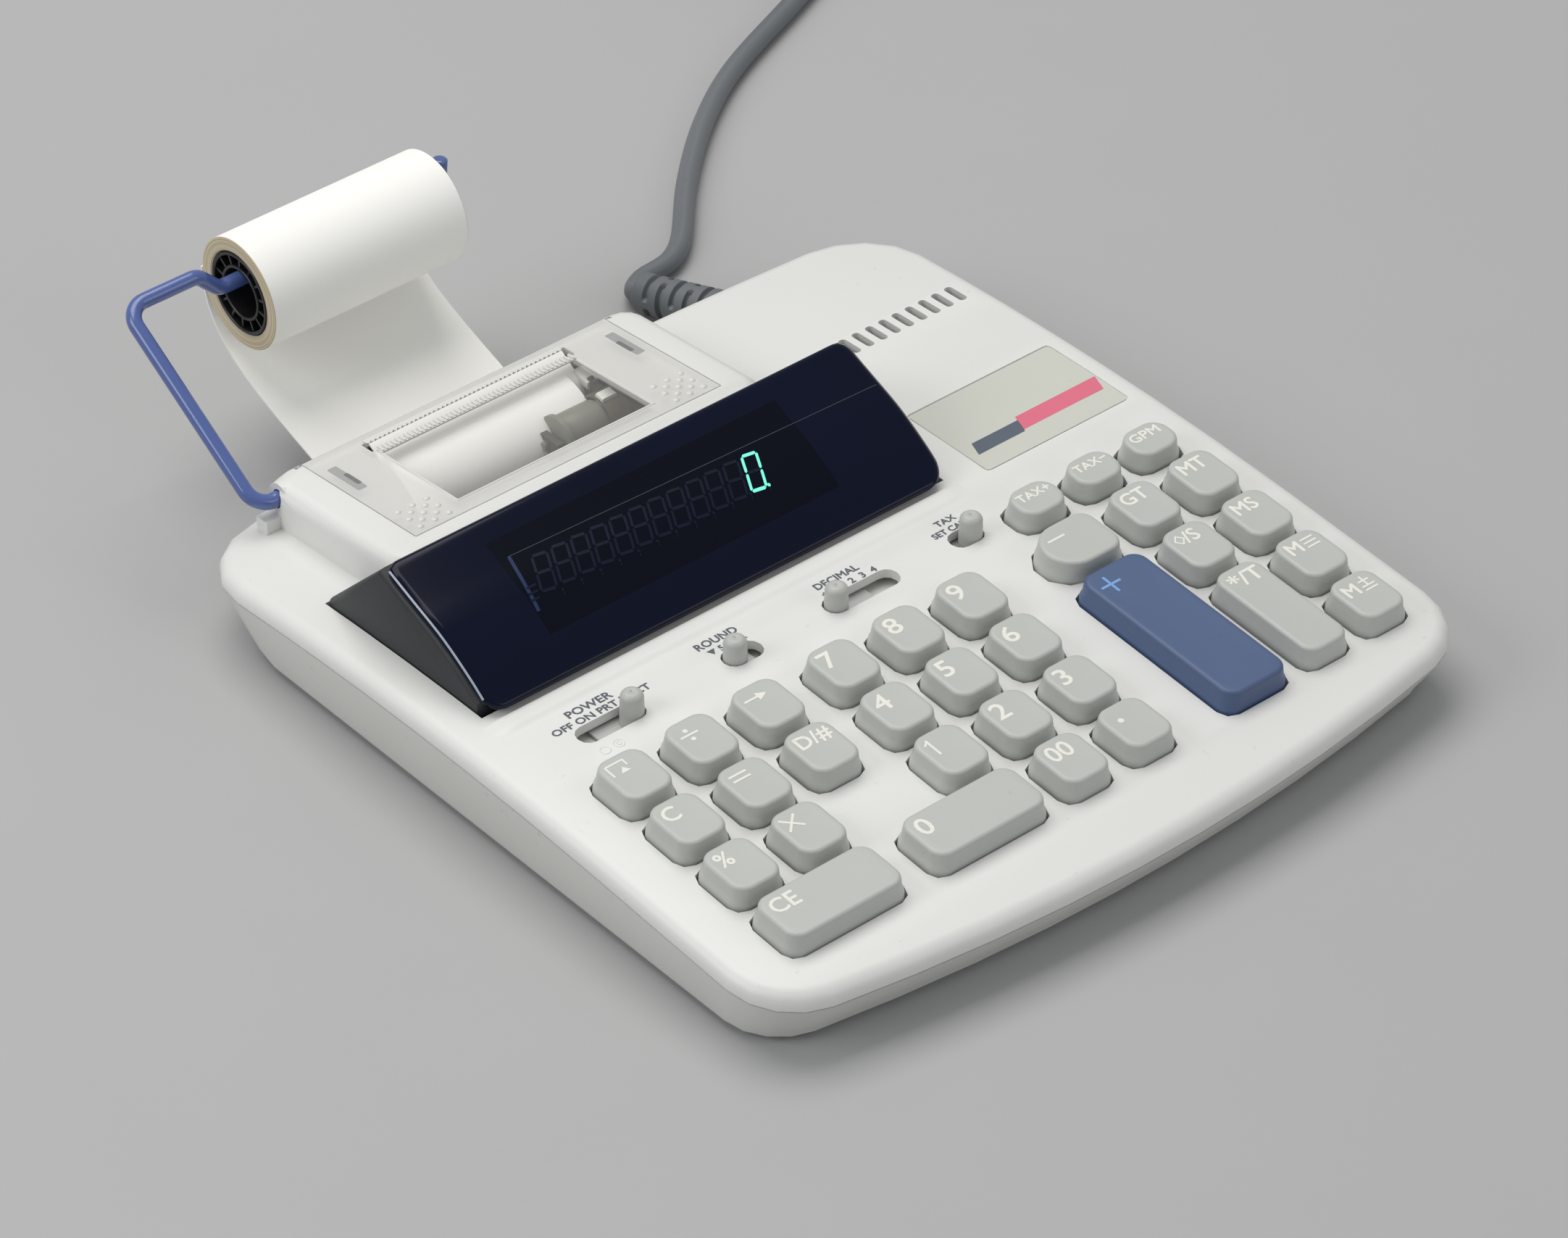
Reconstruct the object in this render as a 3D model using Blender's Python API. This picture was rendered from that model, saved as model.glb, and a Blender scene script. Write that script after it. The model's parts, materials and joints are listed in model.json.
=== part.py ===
"""Printing desk calculator with a paper roll on a swinging wire arm.

Metres, +Z up, X to the user's right, Y to the back. The origin lies on the ground under the middle of
the machine with its paper roll. All shapes are worked out from the named sizes below.
"""
import math

import bmesh
import bpy
from mathutils import Matrix, Vector

for old in list(bpy.data.objects):
    bpy.data.objects.remove(old, do_unlink=True)

# General clearances and walls
gap = 0.0003
overrun = 0.002
wall = 0.0024
run_clearance = 0.0004

# Keyboard grid, left to right and front to back
key_top_width = 0.0127
key_top_depth = 0.0148
key_gap_x = 0.0063
key_gap_y = 0.00316
right_gap_x = 0.0056
short_gap_x = 0.00495
key_flare_x = 0.00095
key_flare_y = 0.00045
key_corner = 0.0032
key_bevel = 0.0006
key_height = 0.0055
key_travel = 0.0030
key_hole_clearance = 0.00045
key_flange_lap = 0.00035
key_flange_thickness = 0.0010
short_key_depth = 0.0100
short_key_gap = 0.0040
wide_key_width = 0.0180
tilt = math.radians(3.8)

# Chain of lengths across the case
edge_to_first_column = 0.02094
left_to_middle_block = 0.02195
middle_to_right_block = 0.05295
last_column_to_edge = 0.0176

# Chain of lengths from front to back
front_to_first_row = 0.0199
last_row_to_sliders = 0.0217
sliders_to_display = 0.0195
display_depth = 0.0565
display_to_back = 0.0410

# Case
front_bow = 0.0080
back_bow = 0.0028
corner_front = 0.0180
corner_back = 0.0220
deck_front_height = 0.01775
crown_before_last_row = 0.0163
crown_radius = 0.900
deck_fillet = 0.0036
deck_band = 0.0042
case_floor_height = 0.0012
case_bottom_round = 0.0025
taper_side = 0.0020
taper_front = 0.0060
taper_back = 0.0110
lip_top_gap = 0.0004
lip_thickness = 0.0012

# Display housing
display_left_margin = 0.0112
label_gap = 0.0103
label_width = 0.0448
label_right_margin = 0.0064
display_height = 0.0220
display_round = 0.0016
display_wall = 0.0020
window_thickness = 0.0020
window_edge_inset = 0.0004
window_corner = 0.0050
window_margin_front = 0.0080
window_margin_back = 0.0055
window_margin_side = 0.0130
tube_thickness = 0.0050
tube_lap = 0.0020
tube_side_inset = 0.0080

# Printer hump and cover
hump_left_inset = 0.0109
hump_right_inset = 0.0147
hump_front_lap = 0.0140
hump_front_height = 0.0340
hump_fillet = 0.0039
hump_roof = 0.0040
hump_wall = 0.0030
hump_back_inset = 0.0014
hump_slope = math.radians(5.5)
cover_left_margin = 0.0104
cover_right_margin = 0.0096
cover_front_lap = 0.0060
cover_back_margin = 0.0035
cover_thickness = 0.0020
cover_ledge = 0.0016
cover_panel_width = 0.0162
cover_pin_radius = 0.0007
cover_pin_length = 0.0015
tear_slot_depth = 0.0048
tear_slot_back_margin = 0.0037
tear_tooth_height = 0.0007
tear_tooth_pitch = 0.0020

# Printer inside
platen_radius = 0.0058
platen_axle_radius = 0.0015
platen_clearance = 0.0005
platen_behind_slot = 0.0032
frame_plate = 0.0020
frame_length = 0.0280
frame_play = 0.0045
gear_radius = 0.0060
gear_tooth = 0.0012
gear_width = 0.0030
ink_radius = 0.0055
ink_width = 0.0110
ink_from_paper_edge = 0.0032
ink_before_platen = 0.0146
ink_below_cover = 0.0035
ink_axle_radius = 0.0012
ink_wheel_radius = 0.0064
ink_wheel_width = 0.0017

# Paper
paper_thickness = 0.0004
roll_radius = 0.0143
core_radius = 0.0106
core_ring = 0.0014
core_bore = 0.0063
core_hub_ring = 0.0014
core_spoke = 0.0014
core_spokes = 6
roll_back_reach = 0.0406
roll_axis_height = 0.0465
paper_slot_height = 0.0050
paper_slot_side = 0.0022
paper_slot_level = 0.0085

# Wire arm
rod_radius = 0.0019
arm_bend = 0.0050
arm_side_offset = 0.0052
arm_pin_before_back = 0.0073
arm_pin_height = 0.0266
arm_pin_length = 0.0140
arm_kink_before_roll = 0.0055
arm_kink_drop = 0.0060
arm_hook_height = 0.0070
arm_hook_beyond_roll = 0.0024
arm_hook_lean = 0.0006
arm_boss_radius = 0.0038
arm_boss_length = 0.0055
arm_rest_block_height = 0.0036
arm_rest_block_depth = 0.0040
arm_rest_block_width = 0.0050
arm_rest_block_behind_pin = 0.0020

# Sliders and switches
slider_slot_width = 0.0062
slider_knob_radius = 0.00285
slider_knob_top_radius = 0.00255
slider_knob_height = 0.0064
slider_plate_thickness = 0.0010
slider_plate_side = 0.0008
power_travel = 0.0120
round_travel = 0.0042
decimal_travel = 0.0150
tax_travel = 0.0027
slider_centre_shares = {"power": 0.1533, "round": 0.3354, "decimal": 0.5045, "tax": 0.6567}

# Vents and label recess
vent_count = 9
vent_pitch = 0.0042
vent_width = 0.0022
vent_length = 0.0070
vent_row_from_back = 0.0418
vent_row_from_edge = 0.0246
label_depth = 0.0290
label_recess = 0.0004
label_corner = 0.0012
label_before_display_back = 0.0610

# Key board under the keys and its posts
board_thickness = 0.0016
board_margin = 0.0080
post_radius = 0.0030
post_inset = 0.0050

# Feet
foot_radius = 0.0060
foot_recess = 0.0008
foot_inset_x = 0.0160
foot_inset_y = 0.0200

# Cord and its relief
relief_from_edge = 0.0436
relief_below_seam = 0.0055
relief_radius = 0.0056
relief_end_radius = 0.0051
relief_groove = 0.0009
relief_neck_radius = 0.0038
relief_length = 0.0245
relief_neck_length = 0.0100
relief_ribs = 6
relief_direction = Vector((-0.265, 0.955, -0.134)).normalized()
cord_radius = 0.00275
cord_gap = 0.0005
coil_middle_radius = 0.0300
coil_turns_per_layer = 4
coil_points_per_turn = 24
coil_tail = 0.0300
plug_length = 0.0240
plug_width = 0.0200
plug_blade_length = 0.0150
plug_blade_width = 0.0062
plug_blade_thickness = 0.0015
plug_blade_spacing = 0.0127
plug_nose = 0.0060
plug_blade_root = 0.0030
cord_tail_run = 0.0450
cord_bend_run = 0.0360
cord_route = ((0.0539, 0.1384, 0.0041), (0.0566, 0.1415, 0.0029), (0.0604, 0.1433, 0.0), (0.0641, 0.1437, 0.0),
              (0.0686, 0.1443, 0.0), (0.0733, 0.1464, 0.0), (0.0784, 0.1504, 0.0), (0.0955, 0.1687, 0.0),
              (0.1150, 0.1860, 0.0), (0.1360, 0.2000, 0.0), (0.1710, 0.2155, 0.0))
cord_route_back_edge = 0.1100

# Derived: the grid and the case
key_pitch_x = key_top_width + key_gap_x
key_pitch_y = key_top_depth + key_gap_y
right_pitch_x = key_top_width + right_gap_x
short_pitch_x = key_top_width + short_gap_x
case_width = (edge_to_first_column + 2 * key_pitch_x + left_to_middle_block + 2 * key_pitch_x
              + middle_to_right_block + right_pitch_x + last_column_to_edge)
case_half = case_width / 2
case_length = (front_to_first_row + 3 * key_pitch_y + last_row_to_sliders + sliders_to_display
               + display_depth + display_to_back)
front_y = -case_length / 2
back_y = case_length / 2
column_x = [-case_half + edge_to_first_column]
for step in (key_pitch_x, key_pitch_x, left_to_middle_block, key_pitch_x, key_pitch_x,
             middle_to_right_block, right_pitch_x):
    column_x.append(column_x[-1] + step)
row_y = [front_y + front_to_first_row + key_pitch_y * back for back in (3, 2, 1, 0)]
slider_y = row_y[0] + last_row_to_sliders
display_front = slider_y + sliders_to_display
display_back = display_front + display_depth
crown_y = row_y[0] - crown_before_last_row
roll_y = back_y + roll_back_reach
origin_shift = -((front_y - front_bow) + (roll_y + roll_radius + gap + paper_thickness)) / 2


def deck_plane(y):
    return deck_front_height + math.tan(tilt) * (y - front_y)


def deck_drop(y):
    return max(y - crown_y, 0.0) ** 2 / (2 * crown_radius)


def deck(y):
    return deck_plane(y) - deck_drop(y)


# Derived: display, hump and cover
display_width = case_width - display_left_margin - label_gap - label_width - label_right_margin
display_x0 = -case_half + display_left_margin
display_x1 = display_x0 + display_width
hump_x0 = display_x0 + hump_left_inset
hump_x1 = display_x1 - hump_right_inset
hump_front = display_back - hump_front_lap
hump_back = back_y - hump_back_inset
cover_x0 = hump_x0 + cover_left_margin
cover_x1 = hump_x1 - cover_right_margin
cover_front = display_back - cover_front_lap
cover_back = back_y - cover_back_margin
cover_mid_x = (cover_x0 + cover_x1) / 2
paper_x0 = cover_x0 + cover_panel_width
paper_x1 = cover_x1 - cover_panel_width
slot_back = cover_back - tear_slot_back_margin
slot_front = slot_back - tear_slot_depth


def hump_top(y):
    return hump_front_height - math.tan(hump_slope) * (y - cover_front)


platen_y = slot_back - platen_behind_slot
platen_z = (hump_top(platen_y) - cover_thickness - platen_clearance - paper_thickness - gap
            - platen_radius)
ink_y = platen_y - ink_before_platen
ink_z = hump_top(ink_y) - cover_thickness - ink_below_cover - ink_radius
cover_pivot_y = cover_back - cover_thickness / 2
cover_pivot_z = hump_top(cover_pivot_y) - cover_thickness / 2


root = bpy.data.objects.new("calculator", None)
bpy.context.collection.objects.link(root)
root.location = (0.0, origin_shift, 0.0)


def make_material(name, colour, roughness, metallic=0.0):
    mat = bpy.data.materials.new(name)
    mat.use_nodes = True
    shader = mat.node_tree.nodes["Principled BSDF"]
    shader.inputs["Base Color"].default_value = (*colour, 1.0)
    shader.inputs["Roughness"].default_value = roughness
    shader.inputs["Metallic"].default_value = metallic
    mat.diffuse_color = (*colour, 1.0)
    return mat


case_plastic = make_material("case_plastic", (0.72, 0.71, 0.67), 0.45)
case_under = make_material("case_under", (0.70, 0.69, 0.66), 0.5)
housing_black = make_material("housing_black", (0.035, 0.038, 0.042), 0.5)
window_navy = make_material("window_navy", (0.006, 0.01, 0.028), 0.08)
tube_glass = make_material("tube_glass", (0.02, 0.025, 0.03), 0.1)
cover_clear = make_material("cover_clear", (0.68, 0.68, 0.64), 0.25)
platen_rubber = make_material("platen_rubber", (0.03, 0.03, 0.03), 0.7)
frame_dark = make_material("frame_dark", (0.10, 0.09, 0.07), 0.6)
ink_olive = make_material("ink_olive", (0.22, 0.21, 0.16), 0.6)
arm_blue = make_material("arm_blue", (0.015, 0.05, 0.20), 0.3)
paper_white = make_material("paper_white", (0.85, 0.83, 0.76), 0.8)
core_black = make_material("core_black", (0.01, 0.01, 0.01), 0.5)
board_green = make_material("board_green", (0.04, 0.12, 0.07), 0.5)
key_grey = make_material("key_grey", (0.51, 0.53, 0.49), 0.45)
key_blue = make_material("key_blue", (0.08, 0.14, 0.26), 0.45)
slider_grey = make_material("slider_grey", (0.45, 0.47, 0.46), 0.45)
rubber_dark = make_material("rubber_dark", (0.05, 0.05, 0.05), 0.8)
cord_grey = make_material("cord_grey", (0.15, 0.155, 0.165), 0.55)
plug_plastic = make_material("plug_plastic", (0.15, 0.155, 0.165), 0.5)


def new_object(name, mesh, mat, parent=root):
    obj = bpy.data.objects.new(name, mesh)
    bpy.context.collection.objects.link(obj)
    obj.parent = parent
    if mat is not None and not mesh.materials:
        mesh.materials.append(mat)
    return obj


def mesh_of(name, verts, faces, smooth=math.radians(35)):
    mesh = bpy.data.meshes.new(name)
    mesh.from_pydata([tuple(v) for v in verts], [], faces)
    mesh.validate()
    outward = bmesh.new()
    outward.from_mesh(mesh)
    bmesh.ops.recalc_face_normals(outward, faces=outward.faces)
    outward.to_mesh(mesh)
    outward.free()
    mesh.update()
    mesh.shade_smooth()
    mesh.set_sharp_from_angle(angle=smooth)
    return mesh


def loft_data(rings):
    """Skin rings of equal counts, and close both ends with strips that pair point i with point n-1-i."""
    count = len(rings[0])
    verts = [p for ring in rings for p in ring]
    faces = []
    for level in range(len(rings) - 1):
        low = level * count
        high = low + count
        for i in range(count):
            j = (i + 1) % count
            faces.append((low + i, low + j, high + j, high + i))
    top = (len(rings) - 1) * count
    for i in range(count // 2 - 1):
        faces.append((top + i, top + i + 1, top + count - 2 - i, top + count - 1 - i))
        faces.append((count - 1 - i, count - 2 - i, i + 1, i))
    return verts, faces


def loft(name, rings):
    verts, faces = loft_data(rings)
    return mesh_of(name, verts, faces)


def join_data(pieces):
    verts = []
    faces = []
    for piece_verts, piece_faces in pieces:
        base = len(verts)
        verts.extend(piece_verts)
        faces.extend([tuple(base + i for i in face) for face in piece_faces])
    return verts, faces


def box_data(x0, x1, y0, y1, z0, z1):
    ring = [(x1, y0), (x1, y1), (x0, y1), (x0, y0)]
    return loft_data([[(x, y, z0) for x, y in ring], [(x, y, z1) for x, y in ring]])


def cylinder_data(radius, start, end, sides=24):
    """Round bar from one point to another."""
    start = Vector(start)
    end = Vector(end)
    axis = (end - start).normalized()
    side = axis.orthogonal().normalized()
    other = axis.cross(side)
    rings = []
    for centre in (start, end):
        ring = []
        for k in range(sides):
            angle = math.tau * (k + 0.5) / sides
            ring.append(centre + radius * (math.cos(angle) * side + math.sin(angle) * other))
        rings.append(ring)
    return loft_data(rings)


def revolve_data(profile, start, axis, sides=16):
    """Turned solid: profile is a list of (distance along the axis, radius) pairs."""
    start = Vector(start)
    axis = Vector(axis).normalized()
    side = axis.orthogonal().normalized()
    other = axis.cross(side)
    rings = []
    for along, radius in profile:
        ring = []
        for k in range(sides):
            angle = math.tau * (k + 0.5) / sides
            ring.append(start + along * axis + radius * (math.cos(angle) * side + math.sin(angle) * other))
        rings.append(ring)
    return loft_data(rings)


def arc_points(cx, cy, radius, first, last, steps):
    points = []
    for k in range(steps + 1):
        angle = first + (last - first) * k / steps
        points.append((cx + radius * math.cos(angle), cy + radius * math.sin(angle)))
    return points


def mirror_ring(half, centre_x=0.0):
    """Full ring from its right half, given front to back as offsets from the centre line."""
    right = [(centre_x + dx, y) for dx, y in half]
    left = [(centre_x - dx, y) for dx, y in reversed(half)]
    return right + left


def rounded_half(half_w, y0, y1, r0, r1, steps=3, sides=()):
    points = arc_points(half_w - r0, y0 + r0, r0, -math.pi / 2, 0.0, steps)
    for y in sides:
        points.append((half_w, y))
    points += arc_points(half_w - r1, y1 - r1, r1, 0.0, math.pi / 2, steps)
    return points


def rounded_ring(x0, x1, y0, y1, radius, steps=3, sides=()):
    half = rounded_half((x1 - x0) / 2, y0, y1, radius, radius, steps, sides)
    return mirror_ring(half, (x0 + x1) / 2)


def cutter(name, data):
    verts, faces = data
    obj = new_object(name, mesh_of(name, verts, faces), None)
    obj.hide_render = True
    obj.display_type = "WIRE"
    return obj


def boolean(obj, tool, operation="DIFFERENCE"):
    mod = obj.modifiers.new(tool.name, "BOOLEAN")
    mod.operation = operation
    mod.solver = "EXACT"
    mod.object = tool
    return mod


# The case outline in plan, bowed at the front
bow_shares = (0.1, 0.32, 0.54, 0.77)
side_shares = (0.0, 0.12, 0.26, 0.4, 0.52, 0.62, 0.72, 0.82, 0.91, 1.0)


def case_half_outline(side, front, back):
    half_w = case_half - side
    y0 = front_y + front
    y1 = back_y - back
    r0 = max(corner_front - side, deck_fillet)
    r1 = max(corner_back - side, deck_fillet)
    slope = math.atan(2 * front_bow / (half_w - r0))
    start = -math.pi / 2 + slope
    corner = arc_points(half_w - r0, y0 + r0, r0, start, 0.0, 4)
    meet_x, meet_y = corner[0]
    points = [(meet_x * s, meet_y - front_bow * (1 - s * s)) for s in bow_shares]
    points += corner
    for share in side_shares[1:-1]:
        points.append((half_w, y0 + r0 + share * (y1 - r1 - y0 - r0)))
    back_slope = math.atan(2 * back_bow / (half_w - r1))
    corner = arc_points(half_w - r1, y1 - r1, r1, 0.0, math.pi / 2 - back_slope, 4)
    points += corner
    meet_x, meet_y = corner[-1]
    points += [(meet_x * s, meet_y + back_bow * (1 - s * s)) for s in reversed(bow_shares)]
    return points


def case_ring(side, front, back, height):
    return [(x, y, height(y)) for x, y in mirror_ring(case_half_outline(side, front, back))]


def seam(y):
    return deck(y) - deck_band


# Top cover: deck block, hump block, hollowed and pierced
deck_rings = [case_ring(0.0, 0.0, 0.0, seam)]
for k in range(4):
    angle = k * math.pi / 6
    inset = deck_fillet * (1 - math.cos(angle))
    lower = deck_fillet * (1 - math.sin(angle))
    deck_rings.append(case_ring(inset, inset, inset, lambda y, lower=lower: deck(y) - lower))
top_cover = new_object("top_cover", loft("top_cover", deck_rings), case_plastic)

hump_rings = []
hump_sides = [hump_front + share * (hump_back - hump_front) for share in (0.3, 0.5, 0.7)]
hump_corner = hump_fillet + hump_wall
hump_plan = rounded_ring(hump_x0, hump_x1, hump_front, hump_back, hump_corner, 3, hump_sides)
hump_rings.append([(x, y, deck(y) - wall / 2) for x, y in hump_plan])
hump_rings.append([(x, y, hump_top(y) - hump_fillet) for x, y in hump_plan])
for k in range(1, 4):
    angle = k * math.pi / 6
    inset = hump_fillet * (1 - math.cos(angle))
    lower = hump_fillet * (1 - math.sin(angle))
    ring = rounded_ring(hump_x0 + inset, hump_x1 - inset, hump_front + inset, hump_back - inset,
                        hump_corner - inset, 3, hump_sides)
    hump_rings.append([(x, y, hump_top(y) - lower) for x, y in ring])
boolean(top_cover, cutter("hump_block", loft_data(hump_rings)), "UNION")

hollow_rings = [case_ring(wall, wall, wall, lambda y: seam(y) - overrun),
                case_ring(wall, wall, wall, lambda y: deck(y) - wall)]
boolean(top_cover, cutter("deck_hollow", loft_data(hollow_rings)))

hump_hollow_plan = rounded_ring(hump_x0 + hump_wall, hump_x1 - hump_wall, hump_front + hump_wall,
                                hump_back - wall, hump_fillet, 2, hump_sides)
hump_hollow = [[(x, y, deck(y) - wall - overrun / 2) for x, y in hump_hollow_plan],
               [(x, y, hump_top(y) - hump_roof) for x, y in hump_hollow_plan]]
boolean(top_cover, cutter("hump_hollow", loft_data(hump_hollow)))

# Display profile in the YZ plane: the window face rises from the lip to the apex, then slopes down
face_y_shares = (0.0, 0.078, 0.25, 0.423, 0.62)
face_z_shares = (0.21, 0.356, 0.618, 0.795, 1.0)
display_foot = deck(display_front)
face_knots = [(display_front + sy * display_depth, display_foot + sz * display_height)
              for sy, sz in zip(face_y_shares, face_z_shares)]


def smooth_through(knots, per_span):
    """Points of a smooth curve through the knots, evenly divided in each span."""
    knots = [Vector(k) for k in knots]
    points = []
    for i in range(len(knots) - 1):
        p0 = knots[max(i - 1, 0)]
        p1 = knots[i]
        p2 = knots[i + 1]
        p3 = knots[min(i + 2, len(knots) - 1)]
        for k in range(per_span):
            t = k / per_span
            points.append(0.5 * ((2 * p1) + (p2 - p0) * t + (2 * p0 - 5 * p1 + 4 * p2 - p3) * t ** 2
                                 + (3 * p1 - p0 - 3 * p2 + p3) * t ** 3))
    points.append(knots[-1])
    return points


face_curve = smooth_through(face_knots, 3)


def curve_at(curve, share):
    """Point and outward normal at a share of a curve's length."""
    lengths = [0.0]
    for a, b in zip(curve, curve[1:]):
        lengths.append(lengths[-1] + (b - a).length)
    target = share * lengths[-1]
    for i in range(len(curve) - 1):
        if target <= lengths[i + 1] or i == len(curve) - 2:
            span = lengths[i + 1] - lengths[i]
            t = (target - lengths[i]) / span
            point = curve[i].lerp(curve[i + 1], t)
            before = curve[max(i - 1, 0)]
            after = curve[min(i + 2, len(curve) - 1)]
            run = (after - before).normalized()
            return point, Vector((-run.y, run.x))
    return curve[-1], Vector((0.0, 1.0))


face_count = 10
face_steps = [k / (face_count - 1) for k in range(face_count)]


def face_offset(depth, start=0.0, end=1.0):
    points = []
    for step in face_steps:
        point, normal = curve_at(face_curve, start + (end - start) * step)
        points.append(point - depth * normal)
    return points


seat_depth = window_thickness + gap
apex_seat = face_offset(seat_depth)[-1]
back_slope_run = display_back - face_knots[-1][0]
housing_bottom = deck(display_front) - wall - overrun


def housing_ring(x, depth):
    """Section of the housing at x, drawn in by depth all round except below."""
    front = face_offset(seat_depth + depth)
    top = [Vector((max(p.x, display_front + depth), p.y)) for p in front]
    foot_z = deck(display_back) + overrun / 2
    foot = Vector((display_back - depth, foot_z - depth))
    apex = top[-1]
    top += [apex.lerp(foot, 0.5), foot]
    bottom = [Vector((p.x, housing_bottom)) for p in reversed(top)]
    return [(x, p.x, p.y) for p in top + bottom]


housing_rings = []
for k in range(4):
    angle = k * math.pi / 6
    depth = display_round * (1 - math.sin(angle))
    housing_rings.append(housing_ring(display_x0 + display_round * (1 - math.cos(angle)), depth))
for k in range(3, -1, -1):
    angle = k * math.pi / 6
    depth = display_round * (1 - math.sin(angle))
    housing_rings.append(housing_ring(display_x1 - display_round * (1 - math.cos(angle)), depth))
display_housing = new_object("display_housing", loft("display_housing", housing_rings), housing_black)


def housing_hollow_ring(x):
    front = face_offset(seat_depth + display_wall)
    top = [Vector((max(p.x, display_front + display_wall), p.y)) for p in front]
    slope = Vector((display_back - display_wall, deck(display_back) + overrun / 2 - display_wall))
    top += [top[-1].lerp(slope, 0.5), slope]
    bottom = [Vector((p.x, housing_bottom - overrun)) for p in reversed(top)]
    return [(x, p.x, p.y) for p in top + bottom]


hollow_data = loft_data([housing_hollow_ring(display_x0 + display_wall),
                         housing_hollow_ring(display_x1 - display_wall)])
boolean(display_housing, cutter("housing_hollow", hollow_data))
sight_x0 = display_x0 + window_margin_side
sight_x1 = display_x1 - window_margin_side
sight_y0 = display_front + window_margin_front
sight_y1 = face_knots[-1][0] - window_margin_back
sight_ring = rounded_ring(sight_x0, sight_x1, sight_y0, sight_y1, tube_lap, 2)
sight_z1 = display_foot + display_height + overrun
sight_data = loft_data([[(x, y, display_foot + tube_lap) for x, y in sight_ring],
                        [(x, y, sight_z1) for x, y in sight_ring]])
boolean(display_housing, cutter("sight_opening", sight_data))

# The housing stands in an opening of the deck that follows its outline
opening_x0 = display_x0 - gap
opening_x1 = display_x1 + gap


def opening_ring(x):
    front = face_offset(seat_depth - gap)
    top = [Vector((max(p.x, display_front - gap), p.y)) for p in front]
    top[0] = Vector((display_front - gap, top[0].y))
    foot = Vector((display_back + gap, deck(display_back) + overrun / 2 + gap))
    top += [top[-1].lerp(foot, 0.5) + Vector((0.0, gap)), foot]
    bottom = [Vector((p.x, housing_bottom - overrun)) for p in reversed(top)]
    return [(x, p.x, p.y) for p in top + bottom]


boolean(top_cover, cutter("display_opening", loft_data([opening_ring(opening_x0), opening_ring(opening_x1)])))

# Window: a bent plate with rounded corners, lying on the housing
window_rings = []
window_x0 = display_x0 + window_edge_inset
window_x1 = display_x1 - window_edge_inset
face_length = sum((b - a).length for a, b in zip(face_curve, face_curve[1:]))


def window_ring(x, inset):
    start = inset / face_length
    outer = face_offset(0.0, start, 1 - start)
    inner = face_offset(window_thickness, start, 1 - start)
    return [(x, p.x, p.y) for p in outer + inner[::-1]]


for k in range(5):
    angle = k * math.pi / 8
    window_rings.append(window_ring(window_x0 + window_corner * (1 - math.cos(angle)),
                                    window_corner * (1 - math.sin(angle))))
for k in range(4, -1, -1):
    angle = k * math.pi / 8
    window_rings.append(window_ring(window_x1 - window_corner * (1 - math.cos(angle)),
                                    window_corner * (1 - math.sin(angle))))
display_window = new_object("display_window", loft("display_window", window_rings), window_navy)

# Display tube: a flat glass block held against the inside of the housing, behind the opening
inner_face = face_offset(seat_depth + display_wall + gap)


def inner_height(y):
    for a, b in zip(inner_face, inner_face[1:]):
        if a.x <= y <= b.x:
            return a.y + (b.y - a.y) * (y - a.x) / (b.x - a.x)
    return inner_face[0].y if y < inner_face[0].x else inner_face[-1].y


tube_front = Vector((sight_y0 - tube_lap, inner_height(sight_y0 - tube_lap)))
tube_back = Vector((sight_y1 + tube_lap, inner_height(sight_y1 + tube_lap)))
tube_run = (tube_back - tube_front).normalized()
tube_down = Vector((tube_run.y, -tube_run.x))
tube_section = [tube_front, tube_back, tube_back + tube_thickness * tube_down,
                tube_front + tube_thickness * tube_down]
tube_rings = [[(x, p.x, p.y) for p in tube_section]
              for x in (sight_x0 + tube_side_inset, sight_x1 - tube_lap)]
display_tube = new_object("display_tube", loft("display_tube", tube_rings), tube_glass)

# Opening for the printer cover: a recess with a ledge all round
recess_ring = rounded_ring(cover_x0 - gap, cover_x1 + gap, cover_front - gap, cover_back + gap, gap, 1)
recess = [[(x, y, hump_top(y) - cover_thickness - gap) for x, y in recess_ring],
          [(x, y, hump_top(y) + overrun) for x, y in recess_ring]]
boolean(top_cover, cutter("cover_recess", loft_data(recess)))
well_ring = rounded_ring(cover_x0 + cover_ledge, cover_x1 - cover_ledge, cover_front + cover_ledge,
                         cover_back - cover_ledge, cover_ledge, 2)
well = [[(x, y, deck(y) - wall - overrun) for x, y in well_ring],
        [(x, y, hump_top(y) - overrun / 2) for x, y in well_ring]]
boolean(top_cover, cutter("cover_well", loft_data(well)))

# Small holes in the deck: keys, sliders, vents, label recess, hinge sockets and the arm's bearing
deck_axis = Vector((0.0, -math.sin(tilt), math.cos(tilt)))
deck_turn = Matrix.Rotation(tilt, 4, "X")


def key_plane(y):
    return deck_plane(y) + key_height / math.cos(tilt)


def tilted_prism(x, y, ring, low, high):
    """Prism square to the deck plane through (x, y), between two heights under the key tops."""
    base = Matrix.Translation((x, y, key_plane(y))) @ deck_turn
    rings = [[base @ Vector((px, py, level)) for px, py in ring] for level in (low, high)]
    return loft_data(rings)


def key_ring(width, depth, radius, round_left, steps=3):
    half = rounded_half(width / 2, -depth / 2, depth / 2, radius, radius, steps)
    ring = mirror_ring(half)
    if round_left:
        end = depth / 2 + key_bevel / 4
        left = []
        for k in range(len(half)):
            angle = math.pi / 2 + math.pi * k / (len(half) - 1)
            left.append((-width / 2 + end + end * math.cos(angle), depth / 2 * math.sin(angle)))
        ring = half + left
    return ring


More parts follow.
